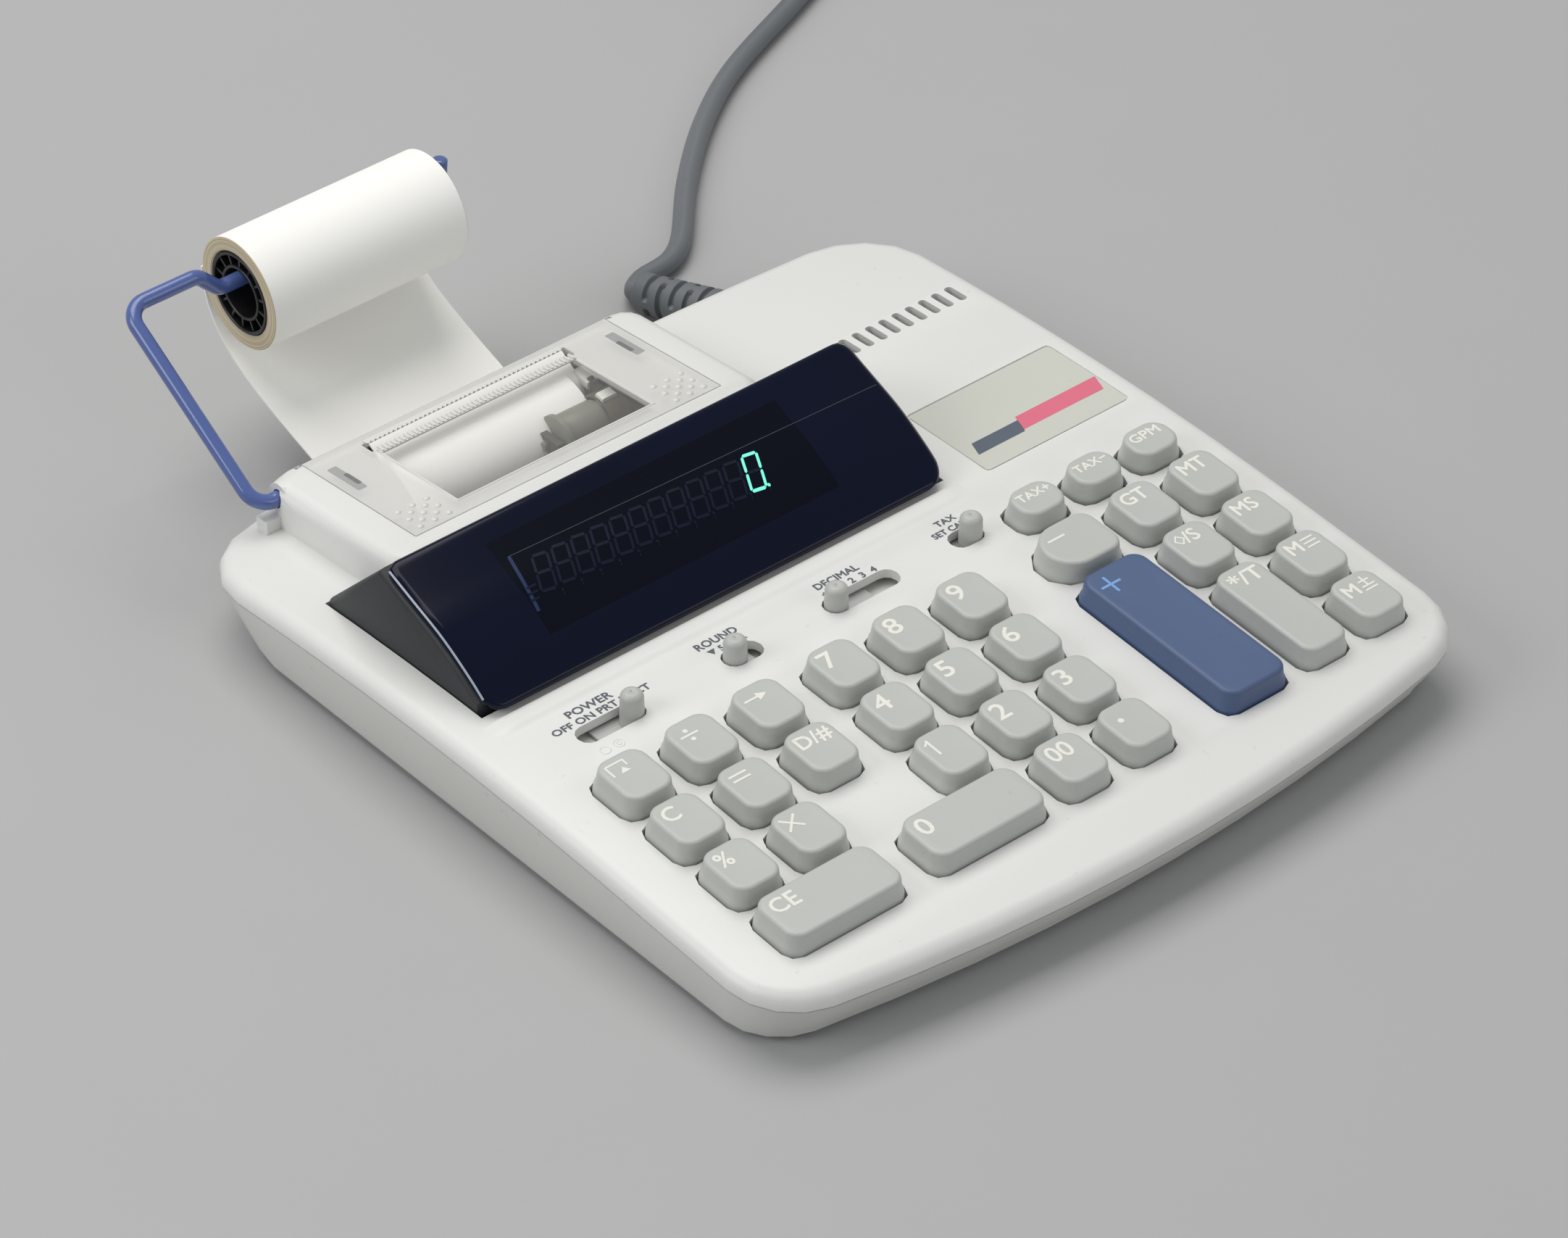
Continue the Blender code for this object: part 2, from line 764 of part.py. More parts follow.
row_span = row_y[1] - row_y[3]
wide_x = column_x[6] - (key_top_width + wide_key_width) / 2 - key_gap_x
short_y = row_y[0] + (key_top_depth + short_key_depth) / 2 + short_key_gap + key_flare_y * 2
double_width = key_top_width + key_pitch_x
triple_depth = key_top_depth + row_span
double_depth = key_top_depth + key_pitch_y
key_table = [
    ("key_feed", column_x[0], row_y[0], key_top_width, key_top_depth),
    ("key_divide", column_x[1], row_y[0], key_top_width, key_top_depth),
    ("key_right_shift", column_x[2], row_y[0], key_top_width, key_top_depth),
    ("key_clear", column_x[0], row_y[1], key_top_width, key_top_depth),
    ("key_equals", column_x[1], row_y[1], key_top_width, key_top_depth),
    ("key_item_date", column_x[2], row_y[1], key_top_width, key_top_depth),
    ("key_percent", column_x[0], row_y[2], key_top_width, key_top_depth),
    ("key_multiply", column_x[1], row_y[2], key_top_width, key_top_depth),
    ("key_clear_entry", (column_x[0] + column_x[1]) / 2, row_y[3], double_width, key_top_depth),
    ("key_7", column_x[3], row_y[0], key_top_width, key_top_depth),
    ("key_8", column_x[4], row_y[0], key_top_width, key_top_depth),
    ("key_9", column_x[5], row_y[0], key_top_width, key_top_depth),
    ("key_4", column_x[3], row_y[1], key_top_width, key_top_depth),
    ("key_5", column_x[4], row_y[1], key_top_width, key_top_depth),
    ("key_6", column_x[5], row_y[1], key_top_width, key_top_depth),
    ("key_1", column_x[3], row_y[2], key_top_width, key_top_depth),
    ("key_2", column_x[4], row_y[2], key_top_width, key_top_depth),
    ("key_3", column_x[5], row_y[2], key_top_width, key_top_depth),
    ("key_0", column_x[3] - key_pitch_x / 2, row_y[3], double_width, key_top_depth),
    ("key_00", column_x[4], row_y[3], key_top_width, key_top_depth),
    ("key_point", column_x[5], row_y[3], key_top_width, key_top_depth),
    ("key_minus", wide_x, row_y[0], wide_key_width, key_top_depth),
    ("key_plus", wide_x, row_y[2], wide_key_width, triple_depth),
    ("key_grand_total", column_x[6], row_y[0], key_top_width, key_top_depth),
    ("key_memory_total", column_x[7], row_y[0], key_top_width, key_top_depth),
    ("key_subtotal", column_x[6], row_y[1], key_top_width, key_top_depth),
    ("key_memory_subtotal", column_x[7], row_y[1], key_top_width, key_top_depth),
    ("key_total", column_x[6], (row_y[2] + row_y[3]) / 2, key_top_width, double_depth),
    ("key_memory_minus", column_x[7], row_y[2], key_top_width, key_top_depth),
    ("key_memory_plus", column_x[7], row_y[3], key_top_width, key_top_depth),
    ("key_tax_plus", column_x[6] - short_pitch_x, short_y, key_top_width, short_key_depth),
    ("key_tax_minus", column_x[6], short_y, key_top_width, short_key_depth),
    ("key_margin", column_x[6] + short_pitch_x, short_y, key_top_width, short_key_depth),
]

deepest_drop = deck_drop(short_y + short_key_depth / 2 + key_flare_y + key_flange_lap)
board_top_level = -(key_height + wall + deepest_drop + gap + key_flange_thickness + key_travel + gap)

key_meshes = {}


def key_mesh(width, depth, drop, round_left):
    """Key cap: flange under the deck, flared skirt through its hole, bevelled top."""
    tag = (round(width, 6), round(depth, 6), round(drop, 6), round_left)
    if tag in key_meshes:
        return key_meshes[tag]
    flange_top = -(key_height + wall + drop + gap)
    flange_low = flange_top - key_flange_thickness
    lap = key_hole_clearance + key_flange_lap
    rings = []
    levels = ((flange_low, 1, lap), (flange_top, 1, lap), (flange_top, 1, 0.0), (-key_bevel, 0, 0.0),
              (0.0, 0, -key_bevel))
    for level, flared, more in levels:
        ring = key_ring(width + 2 * (flared * key_flare_x + more), depth + 2 * (flared * key_flare_y + more),
                        key_corner + min(more, 0.0), round_left)
        rings.append([(x, y, level) for x, y in ring])
    mesh = loft("key_cap", rings)
    key_meshes[tag] = mesh
    return mesh


hole_parts = []
for name, x, y, width, depth in key_table:
    round_left = name == "key_minus"
    drop = deck_drop(y + depth / 2 + key_flare_y + key_hole_clearance + key_flange_lap)
    mesh = key_mesh(width, depth, drop, round_left)
    if name == "key_plus":
        key = new_object(name, mesh.copy(), key_blue)
    else:
        key = new_object(name, mesh, key_grey)
    key.location = (x, y, key_plane(y))
    key.rotation_euler = (tilt, 0.0, 0.0)
    hole_width = width + 2 * (key_flare_x + key_hole_clearance)
    hole_depth = depth + 2 * (key_flare_y + key_hole_clearance)
    ring = key_ring(hole_width, hole_depth, key_corner + key_hole_clearance, round_left, 2)
    hole_parts.append(tilted_prism(x, y, ring, board_top_level, -key_height / 2))
boolean(top_cover, cutter("key_holes", join_data(hole_parts)))

# Sliders in their slots, each resting at one end
slider_parts = []
slider_rest = {"power": 1, "round": -1, "decimal": -1, "tax": 1}
slider_travel = {"power": power_travel, "round": round_travel, "decimal": decimal_travel, "tax": tax_travel}
slider_z = deck(slider_y)
slope_here = math.atan((deck(slider_y + key_pitch_y / 2) - deck(slider_y - key_pitch_y / 2)) / key_pitch_y)
slider_turn = Matrix.Rotation(slope_here, 4, "X")
plate_half_depth = slider_slot_width / 2 + slider_plate_side
crown_sag = (plate_half_depth ** 2) / (2 * crown_radius)
for label, share in slider_centre_shares.items():
    centre = -case_half + share * case_width
    travel = slider_travel[label]
    rest = centre + slider_rest[label] * travel / 2
    slot_half = travel / 2 + slider_knob_radius + run_clearance
    frame = Matrix.Translation((centre, slider_y, slider_z)) @ slider_turn
    ring = rounded_ring(-slot_half, slot_half, -slider_slot_width / 2, slider_slot_width / 2,
                        slider_knob_radius, 3)
    rings = [[frame @ Vector((px, py, level)) for px, py in ring] for level in (-wall * 2, overrun)]
    slider_parts.append(loft_data(rings))
    plate_half = travel / 2 + slider_knob_radius + slider_plate_side
    plate_top = -wall - crown_sag - gap
    plate_low = plate_top - slider_plate_thickness
    profile = [(plate_low, 0), (plate_top, 0), (plate_top, 1), (slider_knob_height * 0.86, 2),
               (slider_knob_height, 3)]
    knob_rings = []
    dome_share = 0.72
    for level, kind in profile:
        ring = []
        for k in range(16):
            angle = math.tau * (k + 0.5) / 16 - math.pi / 2
            unit_x = math.cos(angle)
            unit_y = math.sin(angle)
            if kind == 0:
                reach = 1 / max(abs(unit_x), abs(unit_y))
                ring.append((plate_half * unit_x * reach, plate_half_depth * unit_y * reach, level))
            else:
                radius = (0.0, slider_knob_radius, slider_knob_top_radius,
                          slider_knob_top_radius * dome_share)[kind]
                ring.append((radius * unit_x, radius * unit_y, level))
        knob_rings.append(ring)
    knob = new_object("slider_" + label, loft("slider_" + label, knob_rings), slider_grey)
    knob.location = (rest, slider_y, slider_z)
    knob.rotation_euler = (slope_here, 0.0, 0.0)
boolean(top_cover, cutter("slider_slots", join_data(slider_parts)))

# Vent slots behind the label, and the label's recess
vent_parts = []
vent_y = back_y - vent_row_from_back
for k in range(vent_count):
    x = case_half - vent_row_from_edge + (k - (vent_count - 1) / 2) * vent_pitch
    ring = rounded_ring(x - vent_width / 2, x + vent_width / 2, vent_y - vent_length / 2,
                        vent_y + vent_length / 2, vent_width / 2 - gap / 2, 3)
    vent_parts.append(loft_data([[(px, py, deck(vent_y) - wall - overrun) for px, py in ring],
                                 [(px, py, deck(vent_y) + overrun) for px, py in ring]]))
boolean(top_cover, cutter("vent_slots", join_data(vent_parts)))
label_x1 = case_half - label_right_margin
label_x0 = label_x1 - label_width
label_y0 = display_back - label_before_display_back
label_y1 = label_y0 + label_depth
label_sides = [label_y0 + share * label_depth for share in (0.25, 0.5, 0.75)]
label_ring = rounded_ring(label_x0, label_x1, label_y0, label_y1, label_corner, 2, label_sides)
boolean(top_cover, cutter("label_recess", loft_data([
    [(x, y, deck(y) - label_recess) for x, y in label_ring],
    [(x, y, deck(y) + overrun) for x, y in label_ring]])))

# Hinge sockets of the printer cover in the side walls of its recess
socket_radius = cover_pin_radius + gap
for side, edge, turn in (("left", cover_x0, -1), ("right", cover_x1, 1)):
    start = (edge - turn * overrun / 2, cover_pivot_y, cover_pivot_z)
    end = (edge + turn * (cover_pin_length + 2 * gap), cover_pivot_y, cover_pivot_z)
    boolean(top_cover, cutter("hinge_socket_" + side, cylinder_data(socket_radius, start, end, 12)))

# Bearing of the wire arm in the left wall of the hump
pin_y = back_y - arm_pin_before_back
arm_plane_x = hump_x0 - arm_side_offset
pin_end_x = arm_plane_x + arm_pin_length
boss_x1 = hump_x0 + hump_wall + arm_boss_length
boss_rings = cylinder_data(arm_boss_radius, (hump_x0 + hump_wall * 0.4, pin_y, arm_pin_height),
                           (boss_x1, pin_y, arm_pin_height), 14)
boolean(top_cover, cutter("arm_boss", boss_rings), "UNION")
bearing_radius = rod_radius + gap
bearing = cylinder_data(bearing_radius, (hump_x0 - overrun * 1.5, pin_y, arm_pin_height),
                        (boss_x1 + overrun, pin_y, arm_pin_height), 18)
boolean(top_cover, cutter("arm_bearing", bearing))
block_x1 = hump_x0 + overrun / 2
block_x0 = block_x1 - arm_rest_block_width
block_y1 = pin_y + arm_rest_block_behind_pin
block = box_data(block_x0, block_x1, block_y1 - arm_rest_block_depth, block_y1,
                 deck(pin_y) - wall / 2, deck(pin_y) + arm_rest_block_height)
boolean(top_cover, cutter("arm_block", block), "UNION")

# Bottom case: floor, drafted walls and a lip that locates the top cover
floor_inner = case_floor_height + wall


def flat(height):
    return lambda y: height


case_rings = []
for k in range(3):
    angle = k * math.pi / 4
    inset = case_bottom_round * (1 - math.sin(angle))
    level = case_floor_height + case_bottom_round * (1 - math.cos(angle))
    case_rings.append(case_ring(taper_side + inset, taper_front + inset, taper_back + inset, flat(level)))


def rim(y):
    return seam(y) - gap


case_rings.append(case_ring(0.0, 0.0, 0.0, rim))
lip_out = wall + gap
lip_height = deck_band - wall - lip_top_gap
lip_in = lip_out + lip_thickness
case_rings.append(case_ring(lip_out, lip_out, lip_out, rim))
case_rings.append(case_ring(lip_out, lip_out, lip_out, lambda y: seam(y) + lip_height))
case_rings.append(case_ring(lip_in, lip_in, lip_in, lambda y: seam(y) + lip_height))
case_rings.append(case_ring(lip_in, lip_in, lip_in, rim))
inner_side = wall + taper_side + case_bottom_round
case_rings.append(case_ring(inner_side, wall + taper_front + case_bottom_round,
                            wall + taper_back + case_bottom_round, flat(floor_inner)))
case_verts, case_faces = loft_data(case_rings)
bottom_case = new_object("bottom_case", mesh_of("bottom_case", case_verts, case_faces), case_under)

# Paper slot through the back wall
slot_x0 = paper_x0 - paper_slot_side
slot_x1 = paper_x1 + paper_slot_side
slot_z0 = paper_slot_level - paper_slot_height / 2
slot_z1 = paper_slot_level + paper_slot_height / 2
boolean(bottom_case, cutter("paper_slot", box_data(
    slot_x0, slot_x1, back_y - taper_back - wall - case_bottom_round * 2, back_y + overrun, slot_z0, slot_z1)))

# Board under the keys, on posts that stand on the floor
board_x0 = -case_half + board_margin
board_x1 = case_half - board_margin
board_y0 = front_y + board_margin + front_bow / 4
board_y1 = short_y + short_key_depth / 2 + key_flare_y + wall


def board_height(y, level):
    """Height above the ground of a level under the key tops, at y on the tilted board."""
    return key_plane(y) + level / math.cos(tilt)


board_ring = rounded_ring(board_x0, board_x1, board_y0, board_y1, corner_front / 2, 3)
board_low_level = board_top_level - board_thickness
board_rings = [[(x, y, board_height(y, level)) for x, y in board_ring]
               for level in (board_low_level, board_top_level)]
key_board = new_object("key_board", loft("key_board", board_rings), board_green)
post_rows = (board_y0 + post_inset + post_radius, board_y1 - post_inset)
post_places = [(x, y) for x in (board_x0 + post_inset * 2, 0.0, board_x1 - post_inset * 2) for y in post_rows]
post_parts = []
for x, y in post_places:
    top = board_height(y - post_radius, board_low_level) - gap
    post_parts.append(cylinder_data(post_radius, (x, y, floor_inner - wall / 2), (x, y, top), 12))
boolean(bottom_case, cutter("board_posts", join_data(post_parts)), "UNION")

# Feet in shallow recesses of the floor
foot_places = {"front_left": (-1, 0), "front_right": (1, 0), "back_left": (-1, 1), "back_right": (1, 1)}
foot_recess_parts = []
foot_y_front = front_y + taper_front + foot_inset_y
foot_y_back = back_y - taper_back - foot_inset_y
foot_x = case_half - taper_side - foot_inset_x
for label, (sx, back) in foot_places.items():
    y = foot_y_back if back else foot_y_front
    x = sx * foot_x
    recess_top = case_floor_height + foot_recess
    foot_recess_parts.append(cylinder_data(foot_radius + gap, (x, y, 0.0), (x, y, recess_top), 20))
    foot_profile = [(0.0, foot_radius - foot_recess / 2), (foot_recess / 2, foot_radius),
                    (recess_top - gap, foot_radius)]
    data = revolve_data(foot_profile, (x, y, 0.0), (0.0, 0.0, 1.0), 20)
    new_object("foot_" + label, mesh_of("foot_" + label, *data), rubber_dark)
boolean(bottom_case, cutter("foot_recesses", join_data(foot_recess_parts)))

# Printer frame: two side plates on a base, with bearings for the platen and the ink roller
frame_x0 = paper_x0 - frame_play
frame_x1 = paper_x1 + frame_play
frame_back = platen_y + frame_play
frame_front = frame_back - frame_length
frame_low = floor_inner + gap
base_back = back_y - taper_back - case_bottom_round - wall - overrun
frame_top = platen_z + frame_play
frame_profile_top = [(frame_front, ink_z), (ink_y, ink_z + frame_play), (platen_y - platen_radius, frame_top),
                     (frame_back, frame_top)]
frame_profile_low = [(frame_front, frame_low), (frame_front + frame_plate, frame_low), (base_back, frame_low),
                     (frame_back, paper_slot_level + paper_slot_height)]
frame_section = frame_profile_low + frame_profile_top[::-1]
frame_rings = [[(x, y, z) for y, z in frame_section] for x in (frame_x0 - frame_plate, frame_x1 + frame_plate)]
printer_frame = new_object("printer_frame", loft("printer_frame", frame_rings), frame_dark)
frame_inside = box_data(frame_x0, frame_x1, frame_front - overrun, frame_back + overrun,
                        frame_low + frame_plate, frame_top + overrun)
boolean(printer_frame, cutter("frame_inside", frame_inside))
ink_x1 = paper_x1 - ink_from_paper_edge
ink_x0 = ink_x1 - ink_width
wheel_x0 = ink_x0 - ink_wheel_width
bracket_right = ink_x1 + 2 * gap
bracket_left = wheel_x0 - 2 * gap
bracket_parts = []
for x0, x1 in ((bracket_right, bracket_right + frame_plate), (bracket_left - frame_plate, bracket_left)):
    bracket_parts.append(box_data(x0, x1, ink_y - frame_play, ink_y + frame_play * 0.8,
                                  frame_low + frame_plate / 2, ink_z + 2 * ink_axle_radius))
boolean(printer_frame, cutter("ink_brackets", join_data(bracket_parts)), "UNION")
axle_holes = [
    cylinder_data(platen_axle_radius + gap, (frame_x0 - frame_plate - overrun, platen_y, platen_z),
                  (frame_x1 + frame_plate + overrun, platen_y, platen_z), 16),
    cylinder_data(ink_axle_radius + gap, (bracket_left - frame_plate - overrun, ink_y, ink_z),
                  (bracket_right + frame_plate + overrun, ink_y, ink_z), 16)]
boolean(printer_frame, cutter("axle_holes", join_data(axle_holes)))

# Platen with its feed gear on the right end of its axle
platen_x0 = frame_x0 + 2 * gap
platen_x1 = frame_x1 - 2 * gap
gear_x0 = frame_x1 + frame_plate + 2 * gap
gear_x1 = gear_x0 + gear_width


def gear_radius_at(k):
    return gear_radius if k % 4 in (0, 1) else gear_radius - gear_tooth


platen_stations = [(frame_x0 - frame_plate - overrun / 2, platen_axle_radius), (platen_x0, platen_axle_radius),
                   (platen_x0, platen_radius), (platen_x1, platen_radius),
                   (platen_x1, platen_axle_radius), (gear_x0, platen_axle_radius),
                   (gear_x0, None), (gear_x1, None)]
platen_rings = []
for x, radius in platen_stations:
    ring = []
    for k in range(32):
        angle = math.tau * k / 32
        reach = radius
        if radius is None:
            reach = gear_radius_at(k)
        ring.append((x, platen_y + reach * math.cos(angle), platen_z + reach * math.sin(angle)))
    platen_rings.append(ring)
platen_verts, platen_faces = loft_data(platen_rings)
platen_mesh = mesh_of("platen", [(x, y - platen_y, z - platen_z) for x, y, z in platen_verts], platen_faces)
platen = new_object("platen", platen_mesh, platen_rubber)
platen.location = (0.0, platen_y, platen_z)

# Ink roller with a wheel at its left, on its own axle
roller_start = bracket_left - frame_plate - overrun / 2
ink_stations = [(roller_start, ink_axle_radius), (wheel_x0, ink_axle_radius), (wheel_x0, ink_wheel_radius),
                (ink_x0, ink_wheel_radius), (ink_x0, ink_radius), (ink_x1, ink_radius),
                (ink_x1, ink_axle_radius), (bracket_right + frame_plate + overrun / 2, ink_axle_radius)]
ink_data = revolve_data([(x, r) for x, r in ink_stations], (0.0, 0.0, 0.0), (1.0, 0.0, 0.0), 20)
ink_roller = new_object("ink_roller", mesh_of("ink_roller", *ink_data), ink_olive)
ink_roller.location = (0.0, ink_y, ink_z)

# Printer cover: a clear plate with a rounded hinge edge, a tear slot
cover_half = cover_thickness / 2
plate_ys = [cover_front + share * (cover_pivot_y - cover_front) for share in (0.0, 0.5, 1.0)]
cover_section_top = [(y, hump_top(y)) for y in plate_ys]
cover_section_low = [(y, hump_top(y) - cover_thickness) for y in plate_ys]
edge_arc = []
for k in range(1, 6):
    angle = math.pi / 2 - hump_slope - math.pi * k / 6
    edge_arc.append((cover_pivot_y + cover_half * math.cos(angle), cover_pivot_z + cover_half * math.sin(angle)))
cover_outline = cover_section_top + edge_arc + cover_section_low[::-1]
if len(cover_outline) % 2:
    cover_outline.insert(1, ((cover_outline[0][0] + cover_outline[1][0]) / 2,
                             (cover_outline[0][1] + cover_outline[1][1]) / 2))
cover_rings = [[(x, y - cover_pivot_y, z - cover_pivot_z) for y, z in cover_outline] for x in (cover_x0, cover_x1)]
printer_cover = new_object("printer_cover", loft("printer_cover", cover_rings), cover_clear)
printer_cover.location = (0.0, cover_pivot_y, cover_pivot_z)

# Tear slot with teeth along its front edge
tooth_count = int((paper_x1 - paper_x0 + 2 * paper_slot_side) / tear_tooth_pitch)
tear_x0 = cover_mid_x - tooth_count * tear_tooth_pitch / 2
tear_points = []
for k in range(tooth_count + 1):
    tear_points.append((tear_x0 + k * tear_tooth_pitch, slot_front + tear_tooth_height))
    if k < tooth_count:
        tear_points.append((tear_x0 + (k + 0.5) * tear_tooth_pitch, slot_front))
tear_back = [(x, slot_back) for x, y in tear_points]
tear_ring = tear_points + tear_back[::-1]
tear_data = loft_data([[(x, y, hump_top(cover_back) - cover_thickness - overrun) for x, y in tear_ring],
                       [(x, y, hump_top(slot_front) + overrun) for x, y in tear_ring]])
boolean(printer_cover, cutter("tear_slot", tear_data))
pin_parts = []
for edge, turn in ((cover_x0, -1), (cover_x1, 1)):
    pin_parts.append(cylinder_data(cover_pin_radius, (edge - turn * overrun / 2, cover_pivot_y, cover_pivot_z),
                                   (edge + turn * cover_pin_length, cover_pivot_y, cover_pivot_z), 12))
boolean(printer_cover, cutter("cover_pins", join_data(pin_parts)), "UNION")

# Wire arm: one rod from its bearing up the side, through the roll and up into a hook
core_centre_z = roll_axis_height
rod_axis_z = core_centre_z + core_bore - rod_radius - gap
arm_upper_z = rod_axis_z + arm_kink_drop
arm_y = roll_y
kink_x = paper_x0 - arm_kink_before_roll
hook_x = paper_x1 + arm_hook_beyond_roll
arm_route = [
    (pin_end_x, pin_y, arm_pin_height),
    (arm_plane_x, pin_y, arm_pin_height),
    (arm_plane_x, arm_y, arm_upper_z),
    (kink_x - arm_kink_drop, arm_y, arm_upper_z),
    (kink_x, arm_y, rod_axis_z),
    (hook_x, arm_y, rod_axis_z),
    (hook_x + arm_hook_lean, arm_y, rod_axis_z + arm_hook_height),
]
bend_radii = [arm_bend, arm_bend, arm_bend / 2, arm_bend / 2, arm_bend / 2]


def rounded_route(route, radii, steps=4):
    """Points of a bent wire: straight runs joined by arcs that touch them."""
    route = [Vector(p) for p in route]
    points = [route[0]]
    for i in range(1, len(route) - 1):
        corner = route[i]
        into = (corner - route[i - 1]).normalized()
        away = (route[i + 1] - corner).normalized()
        turn = into.angle(away)
        radius = radii[i - 1]
        reach = radius * math.tan(turn / 2)
        start = corner - into * reach
        centre_dir = (away - into).normalized()
        centre = corner + centre_dir * (radius / math.cos(turn / 2))
        arm = start - centre
        axis = into.cross(away).normalized()
        for k in range(steps + 1):
            points.append(centre + Matrix.Rotation(turn * k / steps, 3, axis) @ arm)
    points.append(route[-1])
    return points


def tube_object(name, points, radius, resolution, mat):
    curve = bpy.data.curves.new(name, "CURVE")
    curve.dimensions = "3D"
    curve.bevel_depth = radius
    curve.bevel_resolution = resolution
    curve.use_fill_caps = True
    spline = curve.splines.new("POLY")
    spline.points.add(len(points) - 1)
    for target, point in zip(spline.points, points):
        target.co = (*point, 1.0)
    curve.materials.append(mat)
    obj = bpy.data.objects.new(name, curve)
    bpy.context.collection.objects.link(obj)
    obj.parent = root
    return obj


arm_points = [p - Vector((0.0, pin_y, arm_pin_height)) for p in rounded_route(arm_route, bend_radii)]
paper_arm = tube_object("paper_arm", arm_points, rod_radius, 3, arm_blue)
paper_arm.location = (0.0, pin_y, arm_pin_height)

# Paper roll wound on a spoked core
roll_sides = 40


def ring_solid(outer, inner, x0, x1, sides):
    verts = []
    for x, radius in ((x0, outer), (x1, outer), (x1, inner), (x0, inner)):
        for k in range(sides):
            angle = math.tau * k / sides
            verts.append((x, radius * math.cos(angle), radius * math.sin(angle)))
    faces = []
    for level in range(4):
        low = level * sides
        high = ((level + 1) % 4) * sides
        for i in range(sides):
            j = (i + 1) % sides
            faces.append((low + i, low + j, high + j, high + i))
    return verts, faces


roll_data = ring_solid(roll_radius, core_radius + gap, paper_x0, paper_x1, roll_sides)
paper_roll = new_object("paper_roll", mesh_of("paper_roll", *roll_data), paper_white)
paper_roll.location = (0.0, roll_y, core_centre_z)
core_data = ring_solid(core_radius, core_radius - core_ring, paper_x0, paper_x1, 30)
roll_core = new_object("roll_core", mesh_of("roll_core", *core_data), core_black)
roll_core.location = (0.0, roll_y, core_centre_z)
hub_outer = core_bore + core_hub_ring
spoke_parts = []
for k in range(core_spokes):
    angle = math.tau * (k + 0.5) / core_spokes
    along = Vector((0.0, math.cos(angle), math.sin(angle)))
    across = Vector((0.0, -math.sin(angle), math.cos(angle))) * (core_spoke / 2)
    near = along * (hub_outer - core_hub_ring / 2)
    far = along * (core_radius - core_ring / 2)
    section = [near - across, far - across, far + across, near + across]
    rings = [[(x, p.y, p.z) for p in section] for x in (paper_x0 + core_spoke, paper_x1 - core_spoke)]
    spoke_parts.append(loft_data(rings))
hub_cutter = cutter("core_hub", ring_solid(hub_outer, core_bore, paper_x0 + gap, paper_x1 - gap, 20))
hub_cutter.location = (0.0, roll_y, core_centre_z)
spoke_cutter = cutter("core_spokes", join_data(spoke_parts))
spoke_cutter.location = (0.0, roll_y, core_centre_z)
boolean(roll_core, spoke_cutter, "UNION")
boolean(roll_core, hub_cutter, "UNION")

# Paper web: from the back of the roll down into the slot, round the platen and up to the tear slot
web_radius = roll_radius + gap + paper_thickness / 2
wrap_radius = platen_radius + gap + paper_thickness / 2


def bezier(p0, p1, p2, p3, steps):
    points = []
    for k in range(steps + 1):
        t = k / steps
        u = 1 - t
        points.append(u ** 3 * p0 + 3 * u * u * t * p1 + 3 * u * t * t * p2 + t ** 3 * p3)
    return points


leave = Vector((roll_y + web_radius, core_centre_z))
enter = Vector((back_y + overrun, paper_slot_level))
wrap_start = Vector((platen_y - wrap_radius, platen_z))
fall = (leave.y - enter.y)
web_line = bezier(leave, leave - Vector((0.0, fall * 0.62)), enter + Vector((fall * 0.78, fall * 0.30)), enter, 12)
reach_in = enter.x - wrap_start.x
rise_in = wrap_start.y - enter.y
web_line += bezier(enter, enter - Vector((reach_in * 0.6, rise_in * 0.12)),
                   wrap_start - Vector((0.0, rise_in * 0.7)), wrap_start, 10)[1:]
wrap_turn = math.radians(58)
for k in range(1, 6):
    angle = math.pi - wrap_turn * k / 5
    web_line.append(Vector((platen_y + wrap_radius * math.cos(angle), platen_z + wrap_radius * math.sin(angle))))
run = Vector((math.sin(wrap_turn), math.cos(wrap_turn)))
web_end_y = slot_back - overrun / 2
web_line.append(web_line[-1] + run * ((web_end_y - web_line[-1].x) / run.x))


def strip_section(line, thickness):
    left = []
    right = []
    for i, point in enumerate(line):
        before = line[max(i - 1, 0)]
        after = line[min(i + 1, len(line) - 1)]
        along = (after - before).normalized()
        normal = Vector((-along.y, along.x)) * (thickness / 2)
        left.append(point + normal)
        right.append(point - normal)
    return left + right[::-1]


web_section = strip_section(web_line, paper_thickness)
web_rings = [[(x, p.x, p.y) for p in web_section] for x in (paper_x0, paper_x1)]
paper_web = new_object("paper_web", loft("paper_web", web_rings), paper_white)

# Strain relief: a neck through the back wall and a ribbed sleeve behind the case
relief_level = seam(back_y) - relief_below_seam
relief_base = Vector((case_half - relief_from_edge, back_y + back_bow * 0.7 + gap, relief_level))
relief_profile = [(-relief_neck_length, relief_neck_radius), (0.0, relief_neck_radius), (0.0, relief_radius)]
rib_pitch = relief_length / relief_ribs


def relief_radius_at(k):
    return relief_radius + (relief_end_radius - relief_radius) * k / relief_ribs


for k in range(relief_ribs):
    radius = relief_radius_at(k)
    relief_profile.append((rib_pitch * (k + 0.55), radius))
    if k < relief_ribs - 1:
        relief_profile.append((rib_pitch * (k + 0.6), radius - relief_groove))
        relief_profile.append((rib_pitch * (k + 0.95), radius - relief_groove))
        relief_profile.append((rib_pitch * (k + 1), relief_radius_at(k + 1)))
relief_profile.append((relief_length, relief_end_radius))
relief_data = revolve_data(relief_profile, relief_base, relief_direction, 12)
cord_relief = new_object("cord_relief", mesh_of("cord_relief", *relief_data), cord_grey)
neck_hole = cylinder_data(relief_neck_radius + gap,
                          relief_base - relief_direction * (relief_neck_length + overrun * 2),
                          relief_base + relief_direction * gap, 16)
boolean(bottom_case, cutter("relief_hole", neck_hole))

